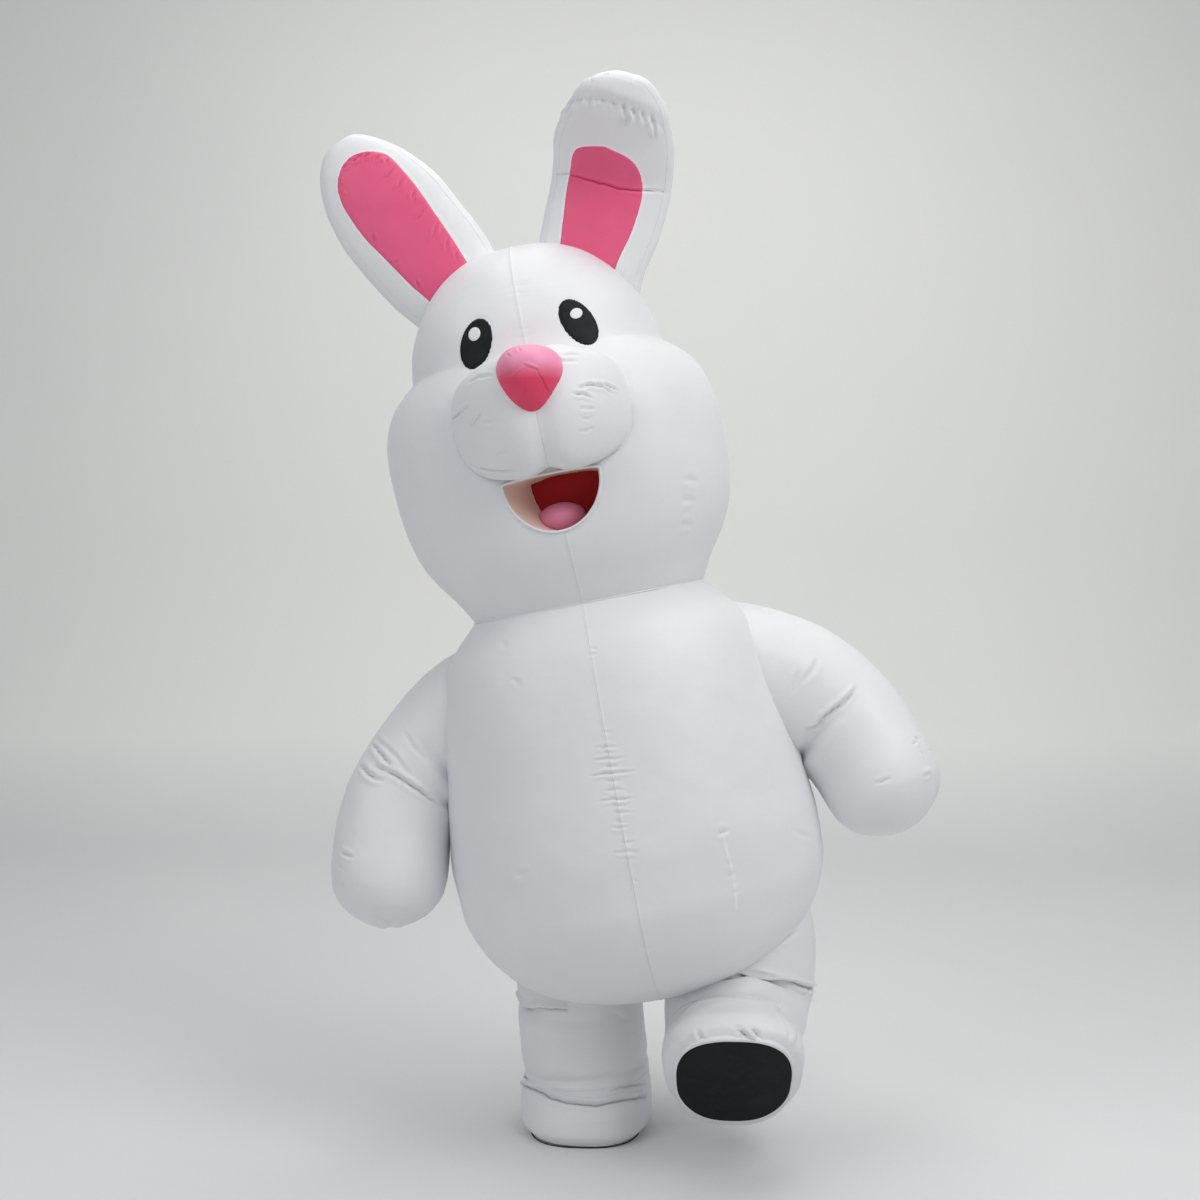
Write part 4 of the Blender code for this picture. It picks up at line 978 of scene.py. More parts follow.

# Creases where the cloth buckles; dark says how strongly shade is painted along each one's line.
CREASES = {
    "sleeve_left": (
        fold(10, 4.2, (628, -119, -247), (612, -132, -264), (590, -141, -285), (561, -143, -308),
             (539, -141, -327), (528, -136, -342), (500, -136, -352), lip=0.5, over=-0.5, dark=0.9),
        fold(4.5, 5, (535, -119, -180), (513, -140, -213), (489, -149, -236), dark=0.3),
        fold(3.5, 5, (488, -144, -207), (478, -150, -231), (470, -153, -265), dark=0.3),
        fold(4.5, 3.5, (658, -188, -471), (683, -191, -465), (699, -190, -460)),
        fold(4, 4, (762, -120, -370), (773, -114, -376)),
        fold(3, 3.5, (755, -138, -385), (768, -130, -378)),
        fold(3.5, 3.5, (776, -133, -402), (784, -132, -412)),
        fold(5, 3.5, (774, -163, -457), (793, -146, -454), (800, -139, -464), lip=0.6),
    ),
    "sleeve_right": (
        fold(10.5, 4.2, (-537, -149, -441), (-495, -173, -457), (-456, -180, -479), (-415, -171, -509),
             (-381, -145, -537), lip=0.5, over=0.4, dark=1, taper=0.35),
        fold(9, 4.5, (-557, -85, -396), (-522, -144, -420), (-493, -169, -446), lip=0.5, over=-0.3, dark=0.8),
        fold(5.5, 4.5, (-558, -58, -383), (-499, -150, -410), (-467, -171, -441), (-442, -176, -471), lip=0.5,
             dark=0.5),
        fold(4.5, 4, (-473, -130, -356), (-449, -153, -391), (-414, -160, -424), dark=0.4),
        fold(8.5, 4.5, (-583, -105, -446), (-548, -158, -466), (-513, -178, -478), lip=0.6, dark=0.8),
        fold(5.5, 4, (-619, -181, -641), (-601, -203, -650), (-578, -219, -653), lip=0.5),
        fold(3.5, 4, (-622, -190, -678), (-606, -207, -680)),
        fold(3.5, 4, (-613, -205, -717), (-598, -217, -724)),
        fold(6, 9, (-520, -208, -799), (-500, -190, -815), (-505, -148, -839), (-508, -100, -848), dark=0.2),
    ),
    "leg_right": (
        fold(13, 3.6, (-204, 66, -1288), (-184, 3, -1272), (-156, -33, -1267), (-119, -67, -1273),
             (-69, -89, -1277), (-16, -94, -1281), (54, -66, -1279), (118, 4, -1290), lip=0.55, over=0.75,
             dark=1, taper=0.2),
        fold(6.5, 3.6, (24, -65, -1257), (54, -48, -1253), (87, -19, -1256), (118, 26, -1266), lip=0.5,
             dark=0.8),
        fold(15, 5, (-216, 45, -1048), (-204, 25, -1058), (-188, 7, -1072), (-143, -61, -1058),
             (-109, -82, -1054), (-74, -91, -1050), lip=0.5, over=0.6, dark=1.6, taper=0.2),
        fold(5, 5, (-212, 45, -1030), (-190, 0, -1048), (-165, -35, -1056), dark=0.3),
        fold(3, 7, (21, -72, -1051), (72, -25, -1094), dark=0.1),
    ),
    "leg_left": (
        fold(8, 4.5, (385, -225, -885), (418, -218, -857), (476, -134, -839), lip=0.4, dark=0.8),
        fold(13, 4, (300, -222, -930), (326, -221, -927), (373, -201, -931), (438, -191, -942),
             (507, -133, -973), (528, -65, -992), lip=0.6, over=0.5, dark=0.9, taper=0.25),
        fold(6.5, 3.6, (490, -140, -990), (510, -120, -984), (528, -65, -984), lip=0.6, dark=0.8),
        fold(6, 8, (200, -230, -1015), (244, -236, -977), (326, -255, -962), (408, -237, -973),
             (450, -222, -1000), lip=0.9, over=-0.9, dark=0.1, taper=0.4),
        fold(8, 3.6, (328, -372, -996), (344, -383, -1014), (360, -395, -1035), lip=0.6, dark=0.8),
        fold(9, 4, (354, -366, -992), (370, -380, -1012), (388, -392, -1040), lip=0.7, over=-0.4, dark=0.6),
        fold(7, 5, (434, -235, -992), (448, -300, -1012), (446, -355, -1042), lip=0.6, dark=0.3),
        fold(6, 4.5, (240, -364, -1008), (252, -385, -1038), lip=0.6, dark=0.4),
        fold(6, 6, (482, -200, -1050), (456, -335, -1055), lip=0.5, dark=0.2),
        fold(4.5, 6, (205, -330, -1050), (222, -362, -1072), lip=0.5, dark=0.2),
    ),
    "trunk": (
        fold(3, 4.5, (284, -381, -566), (297, -374, -558), (311, -368, -559), lip=0.4, dark=0.8),
        fold(2.5, 4, (297, -374, -556), (300, -376, -582), lip=0.5),
        fold(2, 4, (298, -380, -630), (323, -370, -625), lip=0.4),
        fold(2, 4, (307, -379, -657), (330, -369, -649), lip=0.4),
        fold(2.2, 4, (316, -378, -697), (337, -368, -690), lip=0.4),
        fold(3, 5, (469, -241, -576), (492, -210, -592), (515, -165, -603), lip=0.5),
        fold(3.2, 5.5, (-179, -351, -650), (-162, -361, -664), (-145, -370, -654), lip=0.5, dark=0.3),
        fold(2.7, 4.5, (-193, -298, -220), (-178, -306, -223), (-171, -313, -240), lip=0.4, dark=0.4),
        fold(1.8, 6, (-225, -250, -130), (-205, -262, -150), dark=0.1),
    ),
    "head": (
        fold(4, 5.6, (198, -252, 246), (246, -222, 240), lip=0.4, dark=0.3),
        fold(4.5, 5.6, (196, -252, 200), (240, -225, 192), lip=0.4, dark=0.3),
        fold(4, 5.6, (194, -243, 142), (234, -217, 134), lip=0.4, dark=0.3),
        fold(2.7, 5, (205, -247, 168), (232, -228, 176), dark=0.2),
        fold(3, 6.9, (-365, -170, 150), (-335, -205, 138), dark=0.2),
    ),
    "muzzle": (
        fold(6.6, 2.6, (-26, -452, 436), (7, -427, 443), (31, -407, 439), (48, -392, 427), lip=0.35,
             dark=1.4),
        fold(5.6, 2.5, (-40, -462, 422), (-16, -449, 420), (8, -434, 414), lip=0.35, dark=1.1),
        fold(5.2, 2.4, (12, -422, 449), (41, -395, 444), (64, -369, 436), lip=0.35, dark=1.2),
        fold(4, 2.4, (-25, -458, 390), (3, -440, 389), (17, -430, 391), lip=0.3, dark=0.7),
        fold(3.2, 2.1, (-20, -456, 369), (-4, -446, 366), (8, -438, 371), lip=0.3, dark=0.4),
        fold(4.2, 2.4, (-27, -458, 340), (-6, -446, 339), (15, -432, 352), lip=0.3, dark=0.7),
        fold(4.6, 3.4, (-66, -440, 508), (-42, -427, 512), (-18, -412, 512), lip=0.3, dark=0.3),
        fold(3.8, 3, (-70, -445, 504), (-55, -445, 494), (-27, -429, 497), lip=0.3, dark=0.4),
        fold(6.8, 2.7, (-325, -317, 372), (-303, -373, 385), (-271, -412, 401), lip=0.35, dark=0.9),
        fold(5.4, 2.7, (-271, -408, 355), (-256, -424, 367), (-238, -440, 384), lip=0.35, dark=0.7),
        fold(4.6, 2.7, (-238, -438, 360), (-215, -453, 360), (-201, -461, 361), lip=0.3, dark=0.4),
        fold(5, 3.4, (-275, -398, 454), (-246, -423, 463), (-213, -446, 463), lip=0.3, dark=0.3),
        fold(5.4, 3.4, (-290, -345, 276), (-246, -387, 257), (-202, -416, 250), (-160, -434, 249), lip=0.35),
        fold(2.6, 3, (-210, -437, 289), (-183, -453, 294), dark=0.2),
    ),
    "nose": (
        fold(2.2, 1.8, (-112, -522, 470), (-108, -520, 463), (-95, -503, 436), (-83, -466, 410), lip=0.4,
             dark=1, taper=0.3),
        fold(2.2, 2.1, (-106, -497, 513), (-91, -503, 499), dark=0.8),
        fold(2, 2.3, (-153, -495, 516), (-146, -513, 505), lip=0.8),
        fold(1.8, 2.3, (-178, -495, 504), (-167, -512, 495), lip=0.8),
        fold(1.5, 2.3, (-139, -525, 476), (-161, -520, 462), (-177, -507, 457), (-200, -467, 453), lip=0.9,
             over=0.9, dark=0.3, taper=0.3),
        fold(1.5, 2.3, (-139, -525, 478), (-122, -524, 470), (-108, -520, 463), lip=0.9, over=0.9, dark=0.3),
        fold(1, 2.3, (-136, -523, 448), (-136, -516, 427), (-139, -506, 414), dark=0.2),
    ),
    "ear_left": (
        fold(6.5, 2.6, (-110, -45, 1006), (-73, -60, 999), (4, -68, 976), (65, -64, 962), (111, -59, 960),
             (160, -30, 966), lip=0.2, dark=1, taper=0.15),
        fold(3, 11, (-95, -140, 1128), (-75, -168, 1139), (-37, -201, 1141), (11, -209, 1138),
             (69, -193, 1123), (128, -165, 1107), (158, -130, 1090), lip=1, over=0.5, dark=0, taper=0.3),
    ),
    "ear_right": (),
}
# Short folds across the belly's middle seam, in thousandths: where down the trunk, how far to each side, and
# how deep.
BELLY_FOLDS = (
    (152, 0, 18, 3.0), (164, 12, 14, 2.5), (309, 8, 16, 2.5), (331, 24, 20, 4.5), (340, 10, 12, 3.0),
    (348, 30, 30, 6.0), (358, 14, 14, 3.5), (368, 42, 48, 7.5), (378, 16, 18, 3.5), (391, 22, 22, 4.5),
    (402, 34, 32, 6.0), (411, 12, 16, 3.5), (421, 10, 26, 4.0), (433, 12, 12, 3.0), (441, 22, 14, 4.0),
    (462, 10, 20, 3.0), (477, 24, 26, 5.0), (486, 10, 16, 3.0), (520, 4, 14, 3.0), (640, 10, 12, 2.0),
)

BODY_PLACES = ("back_left", "back_right", "front_right", "front_left")  # in their order round the body
BODY_SEAM_SEEDS = (11, 23, 37, 41)  # of the seams at the wearer's left, back, right and front
FRONT_SEAM = 3
FACE = (0, -1, 0)  # the way that the face looks
SEAM_RIDGE = -0.0018  # the seams down the front stand up a little instead, with painted light along them
NECK_SEAM = ("start", 81, 0.5, 0.02, 0.0006)
DART_CROWD = (0.29, 0.05, 1.6)
BACK_COLUMNS = 34  # fewer than in front
PUCKER_CROWD = ((0.0, 0.06, 3.0), (1.0, 0.06, 3.0))  # a body panel's columns crowd at its side seams


def around(centre, axis, radius):
    """Where a point is round a limb, as a length: to place the folds of the seam that joins it on."""
    axis = unit(axis)
    rear = unit(np.array([0.0, 1.0, 0.0]) - axis * axis[1])
    side = np.cross(axis, rear)

    def where(points):
        away = points - centre
        return radius * np.arctan2(away @ rear, away @ side)

    return where


def where_leaning(across, up, radius):
    """The same for a round form on the face."""
    centre = leaning(across, 0.0, up)

    def where(points):
        return radius * np.arctan2(points[:, 2] - centre[2], points[:, 0] - centre[0])

    return where


limbs = {
    "sleeve": {side: tube_surface(sleeve_rows(side)) for side in SIDE_NAMES},
    "leg": {side: tube_surface(leg_rows(side)) for side in SIDE_NAMES},
    "ear": {side: tube_surface(EARS[side]) for side in SIDE_NAMES},
}
trunk, head = body_surface(TRUNK), body_surface(HEAD)
ROUND = full_turn(97)
trees = {"trunk": probe(trunk, 90, ROUND), "head": probe(head, 90, ROUND)}
for side, name in SIDE_NAMES.items():
    for limb, rows in (("sleeve", 90), ("leg", 90), ("ear", 70)):
        trees[f"{limb}_{name}"] = probe(limbs[limb][side], rows, ROUND)
    wall = np.linspace(-MUZZLE_TURN, MUZZLE_TURN, 70)
    trees[f"muzzle_{name}"] = probe(muzzle_surface(side), 60, wall, FACE)


def joins(limb, start, radius, seed, strength, reach):
    """What a panel is told about the limb sewn to it on each side: its form, where round it, and folds."""
    found = {}
    for side, name in SIDE_NAMES.items():
        centre, farther = (limbs[limb][side](np.full(16, place), ROUND[:-1:6]).mean(axis=0)
                           for place in (start, 0.25))
        where = around(centre, farther - centre, radius)
        found[name] = (trees[f"{limb}_{name}"], where, seed + side, strength, reach)
    return found


def joined_to(part, found, reach):
    """The same seam from the limb's side."""
    return dict(near=((trees[part], found[1], found[2], 1.0, reach),), drop=(trees[part],))


armholes = joins("sleeve", 0.12, 0.16, 51, 0.7, 0.035)
leg_holes = joins("leg", 0.02, 0.16, 61, 0.8, 0.035)
ear_roots = joins("ear", 0.02, 0.11, 71, 0.8, 0.03)

belly_creases = []
for thousandth, *measures in BELLY_FOLDS:
    place, (to_right, to_left, depth) = thousandth / 1000, np.array(measures) / 1000
    turns = 1.5 * math.pi + np.linspace(-to_right, to_left, 7) / smooth(TRUNK["half_width"], place)
    rise = 0.0022 * np.sin(np.linspace(-1.5, 1.5, 7)) + 0.0012 * scatter(thousandth, 0, 0, 5)
    path = trunk(place + rise, turns)
    belly_creases.append(dict(path=path, depth=0.6 * depth, width=0.0028, lip=0.45, dark=0.3))


def body_panel(part, form, rows, index, columns, first_seed, strength, reach, crowd=(), **options):
    """One of the four panels of the trunk or the head, each a quarter of the way round."""
    place, quarter = BODY_PLACES[index], crowded(columns, PUCKER_CROWD + crowd)
    seams = []
    for edge, seam in (("left", index), ("right", (index + 1) % 4)):
        ridge = (SEAM_RIDGE,) if seam == FRONT_SEAM else ()
        seams.append((edge, BODY_SEAM_SEEDS[seam] + first_seed, strength, reach, *ridge))
    panel(f"{part}_panel_{place}", form, rows, (index + quarter) * math.pi / 2, white, f"{part}_{place}",
          seams=(*seams, NECK_SEAM), folded=("left", "right", "start"), pole=True, **BODY_WAVE, **options)


# The trunk, four panels.
trunk_rows = crowded(360, ((0.0, 0.03, 1.5), (0.40, 0.10, 2.2), (0.16, 0.03, 1.0), (0.63, 0.05, 0.8)))
# The belly's dart stands up, with painted light along it.
belly_dart = dict(path=BELLY_DART, seed=91, strength=0.3, reach=0.012, depth=-0.0012)
for index, place in enumerate(BODY_PLACES):
    where, name = place.split("_")
    front, darted = where == "front", place == "front_left"
    body_panel(
        "trunk", trunk, trunk_rows, index, 114 if front else BACK_COLUMNS, 0, 0.35, 0.020,
        crowd=(DART_CROWD,) if darted else (),
        near=(armholes[name], leg_holes["right"], leg_holes["left"]),
        drop=(trees[f"sleeve_{name}"], trees["leg_right"], trees["leg_left"]),
        paths=(belly_dart,) if darted else (), creases=[*CREASES["trunk"], *belly_creases] if front else ())


def off_lean(points):
    """Across and up in the leaning frame, for points of the model."""
    x, z = points[..., 0] - NECK_X, points[..., 2] - (NECK_HEIGHT - HOLD_HEIGHT)
    return x * math.cos(LEAN) + z * math.sin(LEAN), z * math.cos(LEAN) - x * math.sin(LEAN)


def mouth_hole(base):
    """Moves the points beside the mouth's edge onto it, and says which are inside it."""
    across, up = off_lean(base)
    outline = np.stack(mouth_outline(MOUTH, ring(720)), axis=-1)
    near = (base[..., 1] < 0) & (np.abs(across - MOUTH["across"]) < 0.15) & (np.abs(up - MOUTH["up"]) < 0.15)
    rows, columns = np.nonzero(near)
    chosen = np.stack([across, up], axis=-1)[rows, columns]
    gaps = np.linalg.norm(chosen[:, None] - outline[None], axis=-1)
    closest, gap = gaps.argmin(axis=1), gaps.min(axis=1)
    x, y = chosen[:, 0] - MOUTH["across"], chosen[:, 1] - MOUTH["up"]
    reach = (x / MOUTH["half_width"]) ** 2 + (y / np.where(y < 0, MOUTH["drop"], MOUTH["rise"])) ** 2
    width = np.linalg.norm(np.diff(base, axis=1), axis=-1)
    width = np.concatenate([width, width[:, -1:]], axis=1)[rows, columns]
    snapped = gap < 0.5 * np.clip(width, 0.004, 0.012)
    inside = np.zeros(base.shape[:2], bool)
    inside[rows, columns] = (reach < 1) & ~snapped
    moved = base.copy()
    moved[rows[snapped], columns[snapped]] = face_point(*outline[closest[snapped]].T)
    return moved, inside


def eye_form(side, size):
    """An oval on the face, as tilted as the eye."""
    return disc_surface(face_point, size, EYES[side]["tilt"])


def muzzle_groove(points):
    """How deep the muzzle's edge is drawn in, and so how dark the shade painted along it is: more below than
    above.
    """
    return 0.0010 + 0.0060 * np.clip((MUZZLE["up"] + 0.02 - off_lean(points)[1]) / 0.09, 0, 1)


# The head, four panels, with the edges of what is sewn to its face.
mouth_rim = face_point(*mouth_outline(MOUTH, ring(120)))
muzzle_where = where_leaning(MUZZLE["across"], MUZZLE["up"], 0.17)
muzzle_joins = [(trees[f"muzzle_{name}"], muzzle_where, 101, 0.8, 0.03, muzzle_groove)
                for name in SIDE_NAMES.values()]
face_seams = [dict(path=eye_form(side, EYES[side])(np.zeros(60), ring(60)), closed=True, seed=111 + side,
                   strength=0.35, reach=0.012, depth=0.0016) for side in SIDE_NAMES]
face_seams.append(dict(path=mouth_rim, closed=True, seed=121, strength=0.8, reach=0.025))
cheek_dart = dict(path=CHEEK_DART, seed=131, strength=1.0, reach=0.02, depth=0.0015)
head_rows = crowded(290, ((0.0, 0.03, 1.5), (0.55, 0.12, 0.8), (0.75, 0.06, 0.8)))
for index, place in enumerate(BODY_PLACES):
    columns, extra, joined = BACK_COLUMNS, {}, [ear_roots["right"], ear_roots["left"]]
    if place.startswith("front"):
        columns, joined = 112, joined + muzzle_joins
        seams = face_seams + [cheek_dart] * (place == "front_left")
        extra = dict(creases=CREASES["head"], hole=mouth_hole, paths=seams)
    body_panel("head", head, head_rows, index, columns, 400, 0.55, 0.022, near=joined,
               drop=(trees["ear_right"], trees["ear_left"]), **extra)

rope("neck_cord", (head(np.zeros(180), ring(180)) + trunk(np.zeros(180), ring(180))) / 2, 0.0022, white)
rope("mouth_edge_piping", mouth_rim + np.array([0, -0.0005, 0]), 0.0034, white)
panel("mouth_tunnel_lining", mouth_surface, spaced(0, 1, 40, 0.3), full_turn(140), peach, "mouth_lining",
      seams=(("start", 141, 0.9, 0.04), ("end", 142, 0.8, 0.03)), closed=True, wave=0.0012, seed=9)


def window_surface(s, a):
    across, up = mouth_outline(WINDOW, a, 1 - s)
    return leaning(across, MOUTH_BACK_Y + SEAM_GAP - 0.004 * np.sin(math.pi * np.asarray(s) / 2), up)


def tongue_surface(s, a):
    swing = s * math.pi / 2
    across = TONGUE["across"] + TONGUE["half_width"] * np.cos(swing) * np.cos(a)
    up = TONGUE["up"] + TONGUE["half_height"] * np.cos(swing) * np.sin(a)
    return leaning(across, MOUTH_BACK_Y - SEAM_GAP - TONGUE_REACH * np.sin(swing), up)


panel("mouth_window_net", window_surface, np.linspace(0, 1, 30), full_turn(90), red_net, "mouth_window",
      facing=FACE, seams=(("start", 151, 1.0, 0.03),), closed=True, pole=True, wave=0.0012, seed=10)
panel("tongue_pad", tongue_surface, np.linspace(0, 1, 40), full_turn(90), tongue_pink, "tongue",
      seams=(("start", 161, 0.9, 0.02),), closed=True, pole=True, wave=0.0008, seed=12, padded_fill=0.9)

# The muzzle's two halves, and the nose: a padded cone that puckers where it is sewn to them.
nose_where = where_leaning(NOSE["across"], NOSE["up"], 0.08)
nose_joins = []
for side, name in SIDE_NAMES.items():
    panel(f"muzzle_half_{name}", muzzle_surface(side), spaced(0, 1, 124, 0.35),
          spaced(-MUZZLE_TURN, MUZZLE_TURN, 216, 0.3), white, f"muzzle_{name}", facing=FACE,
          seams=(("start", 171, 0.5, 0.02, 0.0006),), creases=CREASES["muzzle"], folded=("start",),
          near=((trees["head"], muzzle_where, 101, 0.9, 0.03, muzzle_groove),), drop=(trees["head"],),
          wave=0.0016, seed=14)
    nose_joins.append((trees[f"muzzle_{name}"], nose_where, 191, 0.7, 0.016))
nose_joins.append((trees["head"], nose_where, 191, 1.0, 0.020))
panel("nose_pad", nose_surface, spaced(0, 1, 90, 0.1), full_turn(150), nose_pink, "nose", closed=True,
      pole=True, creases=CREASES["nose"], near=nose_joins, drop=[join[0] for join in nose_joins], wave=0.0014,
      seed=15, padded_fill=0.9)

# The eyes: black patches, each with a white highlight whose place is given from the patch's middle.
GLINT = {RIGHT: dict(across=0.001, up=0.022, half_width=0.0145, half_height=0.0165),
         LEFT: dict(across=-0.002, up=0.020, half_width=0.0145, half_height=0.0125)}


def swelling(height, start, share):
    """The lift of a patch that rises from start by a height, over a share of the way to its middle."""
    return lambda s, a, base: start + height * np.sin(np.clip(s / share, 0, 1) * math.pi / 2)


for side, name in SIDE_NAMES.items():
    spot = {key: size + EYES[side][key] * (key in ("across", "up")) for key, size in GLINT[side].items()}
    patch = dict(facing=FACE, closed=True, pole=True, **BODY_WAVE)
    panel(f"eye_patch_{name}", eye_form(side, EYES[side]), np.linspace(0, 1, 24), full_turn(80), black_eye,
          f"eye_{name}", lift=swelling(0.0036, -0.0014, 1 / 6), **patch)
    panel(f"eye_highlight_{name}", eye_form(side, spot), np.linspace(0, 1, 12), full_turn(48), eye_white,
          lift=swelling(0.0012, 0.0021, 1 / 5), **patch)

# Short folds that run in from the edge of the pink lining: how many, the edge, how long and how deep.
EAR_FOLDS = {RIGHT: ((13, 1, 0.064, 0.0030), (9, -1, 0.030, 0.0022)), LEFT: ((4, 1, 0.016, 0.0012),)}


def ear_folds(form, groups):
    """Creases across the lining's edge, each at its own slant."""
    folds = []
    for count, edge, length, depth in groups:
        places = np.linspace(0.10, 0.93, count) + 0.018 * scatter(np.arange(count), count, edge, 9)
        for index, place in enumerate(places):
            half = np.linalg.norm(np.diff(form(np.array([place]), np.array([-1.0, 1.0])), axis=0)) / 2
            reach = length * (0.65 + 0.35 * scatter(index, count, edge, 10)) / half
            inward = edge * (1 - np.linspace(0.008 / half, reach, 5))
            lean_down = np.linspace(0.0, 0.030 * (0.6 + 0.6 * scatter(index, count, edge, 11)), 5)
            path = form(np.clip(place - edge * lean_down, 0, 1), inward)
            folds.append(dict(path=path, depth=depth, width=0.0034, lip=0.8, dark=0.8, taper=0.9))
    return folds


# Folds that hang from the seam of the left ear's tip: where along it, how long, and how deep.
TIP_FOLDS = ((0.06, 0.020, 0.0040), (0.13, 0.042, 0.0060), (0.21, 0.034, 0.0050), (0.29, 0.016, 0.0030),
             (0.37, 0.022, 0.0030), (0.46, 0.014, 0.0035), (0.55, 0.020, 0.0040), (0.63, 0.040, 0.0060),
             (0.71, 0.022, 0.0050), (0.79, 0.028, 0.0040), (0.88, 0.036, 0.0050))


def tip_creases(form):
    seam = fine_path(TIP_SEAM)
    rows, angles = np.meshgrid(np.linspace(0.5, 1.0, 240), np.linspace(-math.pi, 0.0, 360), indexing="ij")
    points = form(rows, angles)
    folds = []
    for index, (share, length, depth) in enumerate(TIP_FOLDS):
        closest = np.linalg.norm(points - seam[int(share * (len(seam) - 1))], axis=-1).argmin()
        s, a = rows.ravel()[closest], angles.ravel()[closest]
        slant = 0.05 * scatter(index, 3, 4, 5) * np.linspace(-1, 1, 6)
        down = np.linspace(0.010, -length, 6) / 0.62
        path = form(s + down, a + slant)
        folds.append(dict(path=path, depth=depth, width=0.0034, lip=0.9, dark=0.35, taper=0.7))
    return folds


def lining_lift(s, a, base):
    """The lining lies on the ear's front, and its edge is turned in."""
    half = np.linalg.norm(base[:, -1:] - base[:, :1], axis=-1) / 2
    length = run_of(base)
    edge = np.minimum((1 - np.abs(a)) * half, np.abs(length[-1:] - length) + 0.2 * half)
    return 0.0026 - 0.0042 * np.exp(-edge / 0.0030)


# The ears: a front and a back each, with the pink lining set into the front.
for side, name in SIDE_NAMES.items():
    ear, lining_form = limbs["ear"][side], ear_lining_surface(side)
    places, edges = np.linspace(0, 1, 50), np.ones(50)
    outline = lining_form(np.concatenate([places, places[::-1]]), np.concatenate([-edges, edges]))
    # The white cloth stands up round the lining, with painted light along its edge.
    lining_seam = dict(path=outline, seed=211 + side, strength=0.04, reach=0.018, depth=-0.0010)
    creases, tip = list(CREASES[f"ear_{name}"]), []
    if side == LEFT:
        creases += tip_creases(ear)
        tip = [dict(path=TIP_SEAM, seed=201, strength=2.0, reach=0.030, depth=0.0014)]
    wave = dict(wave=0.0026, seed=21)
    front_turn = spaced(-math.pi + EAR_SEAM, -EAR_SEAM, 64, 0.5)
    back_turn = spaced(-EAR_SEAM, math.pi + EAR_SEAM, 56, 0.6)
    for face, rows, angles, seeds, paths in (("front", 210, front_turn, (221, 231), [*tip, lining_seam]),
                                             ("back", 170, back_turn, (231, 221), tip)):
        seams = [(edge, seed + side, 0.3, 0.02, 0.0002) for edge, seed in zip(("left", "right"), seeds)]
        panel(f"ear_{face}_panel_{name}", ear, spaced(0, 1, rows, 0.2), angles, white, f"ear_{face}_{name}",
              seams=seams, paths=paths, creases=creases, folded=("left", "right"), pole=True, **wave,
              **joined_to("head", ear_roots[name], 0.03))
    panel(f"ear_lining_panel_{name}", lining_form, spaced(0.0, 1, 210, 0.3), spaced(-1, 1, 70, 0.6), pink,
          f"ear_lining_{name}", facing=FACE,
          seams=(("left", 241 + side, 0.04, 0.020), ("right", 251 + side, 0.04, 0.020)),
          near=((trees["head"], ear_roots[name][1], 261, 1.0, 0.04),), drop=(trees["head"],),
          creases=creases + ear_folds(lining_form, EAR_FOLDS[side]), lift=lining_lift, **wave)


# The sleeves with their mitts, each with a lengthwise seam along the outside of the arm.
OUTER_SEAM = {RIGHT: math.pi + 0.25, LEFT: -0.35}
for side, name in SIDE_NAMES.items():
    sleeve = limbs["sleeve"][side]
    wrist = (len(SLEEVES[side]["x"]) - 1) / (len(sleeve_rows(side)["x"]) - 1)
    angles = spaced(OUTER_SEAM[side], OUTER_SEAM[side] + 2 * math.pi, 180, 0.2)
    shared = dict(creases=CREASES[f"sleeve_{name}"], closed=True, wave=0.0024, seed=31)
    panel(f"sleeve_panel_{name}", sleeve, spaced(0.0, wrist, 150, 0.2), angles, white, f"sleeve_{name}",
          seams=(("left", 301 + side, 0.5, 0.02), (0.5, 311 + side, 0.4, 0.02)), **shared,
          **joined_to("trunk", armholes[name], 0.035))
    panel(f"mitt_panel_{name}", sleeve, spaced(wrist, 1, 72, 0.1), angles, white, f"mitt_{name}",
          seams=(("left", 301 + side, 0.9, 0.025), (0.5, 311 + side, 0.7, 0.025)), pole=True, **shared)


# On the standing foot a black bead round the sole's edge draws the dark line at the floor: partly the sole's
# own edge, partly painted contact shadow.
SOLE_LAP = {RIGHT: 0.0, LEFT: 1.0}  # the white cloth laps over the sole's edge on the lifted foot only


def sole_forms(side):
    """The black sole, the white cloth that laps over its edge, and the sole's outline."""
    up = foot_up(side)
    ground = np.array(SOLE_CENTRE[side]) - np.array([0, 0, HOLD_HEIGHT])
    edge_height = up * FOOT["lift"][-1]
    toeward = np.cross(up, (1.0, 0.0, 0.0))

    def edge(a):
        return limbs["leg"][side](np.ones_like(a), a) - edge_height - ground

    def black_share(a):
        """How much of the sole's width is black."""
        away = edge(a)
        reach = np.linalg.norm(away, axis=-1)
        toe = np.clip(away @ toeward / reach, 0, 1)
        return 1 - SOLE_LAP[side] * (0.0005 + 0.0150 * toe ** 2) / reach

    def sole(s, a):
        return ground + edge(a) * (black_share(a) * (1.0 - s))[..., None]

    def lap(s, a):
        """From over the foot's lower edge, down its rim and in over the sole."""
        inward = np.clip((s - 0.25) / 0.75, 0, 1) * (1.03 - black_share(a))
        over = 1.0 + 0.008 / FOOT["lift"][-1] * np.clip(1 - s / 0.15, 0, 1)
        rise = over * np.clip(1 - (s - 0.15) / 0.25, 0, 1)
        return ground + edge(a) * (1.004 - inward)[..., None] + edge_height * rise[..., None]

    return sole, lap, ground + edge(ring(180))


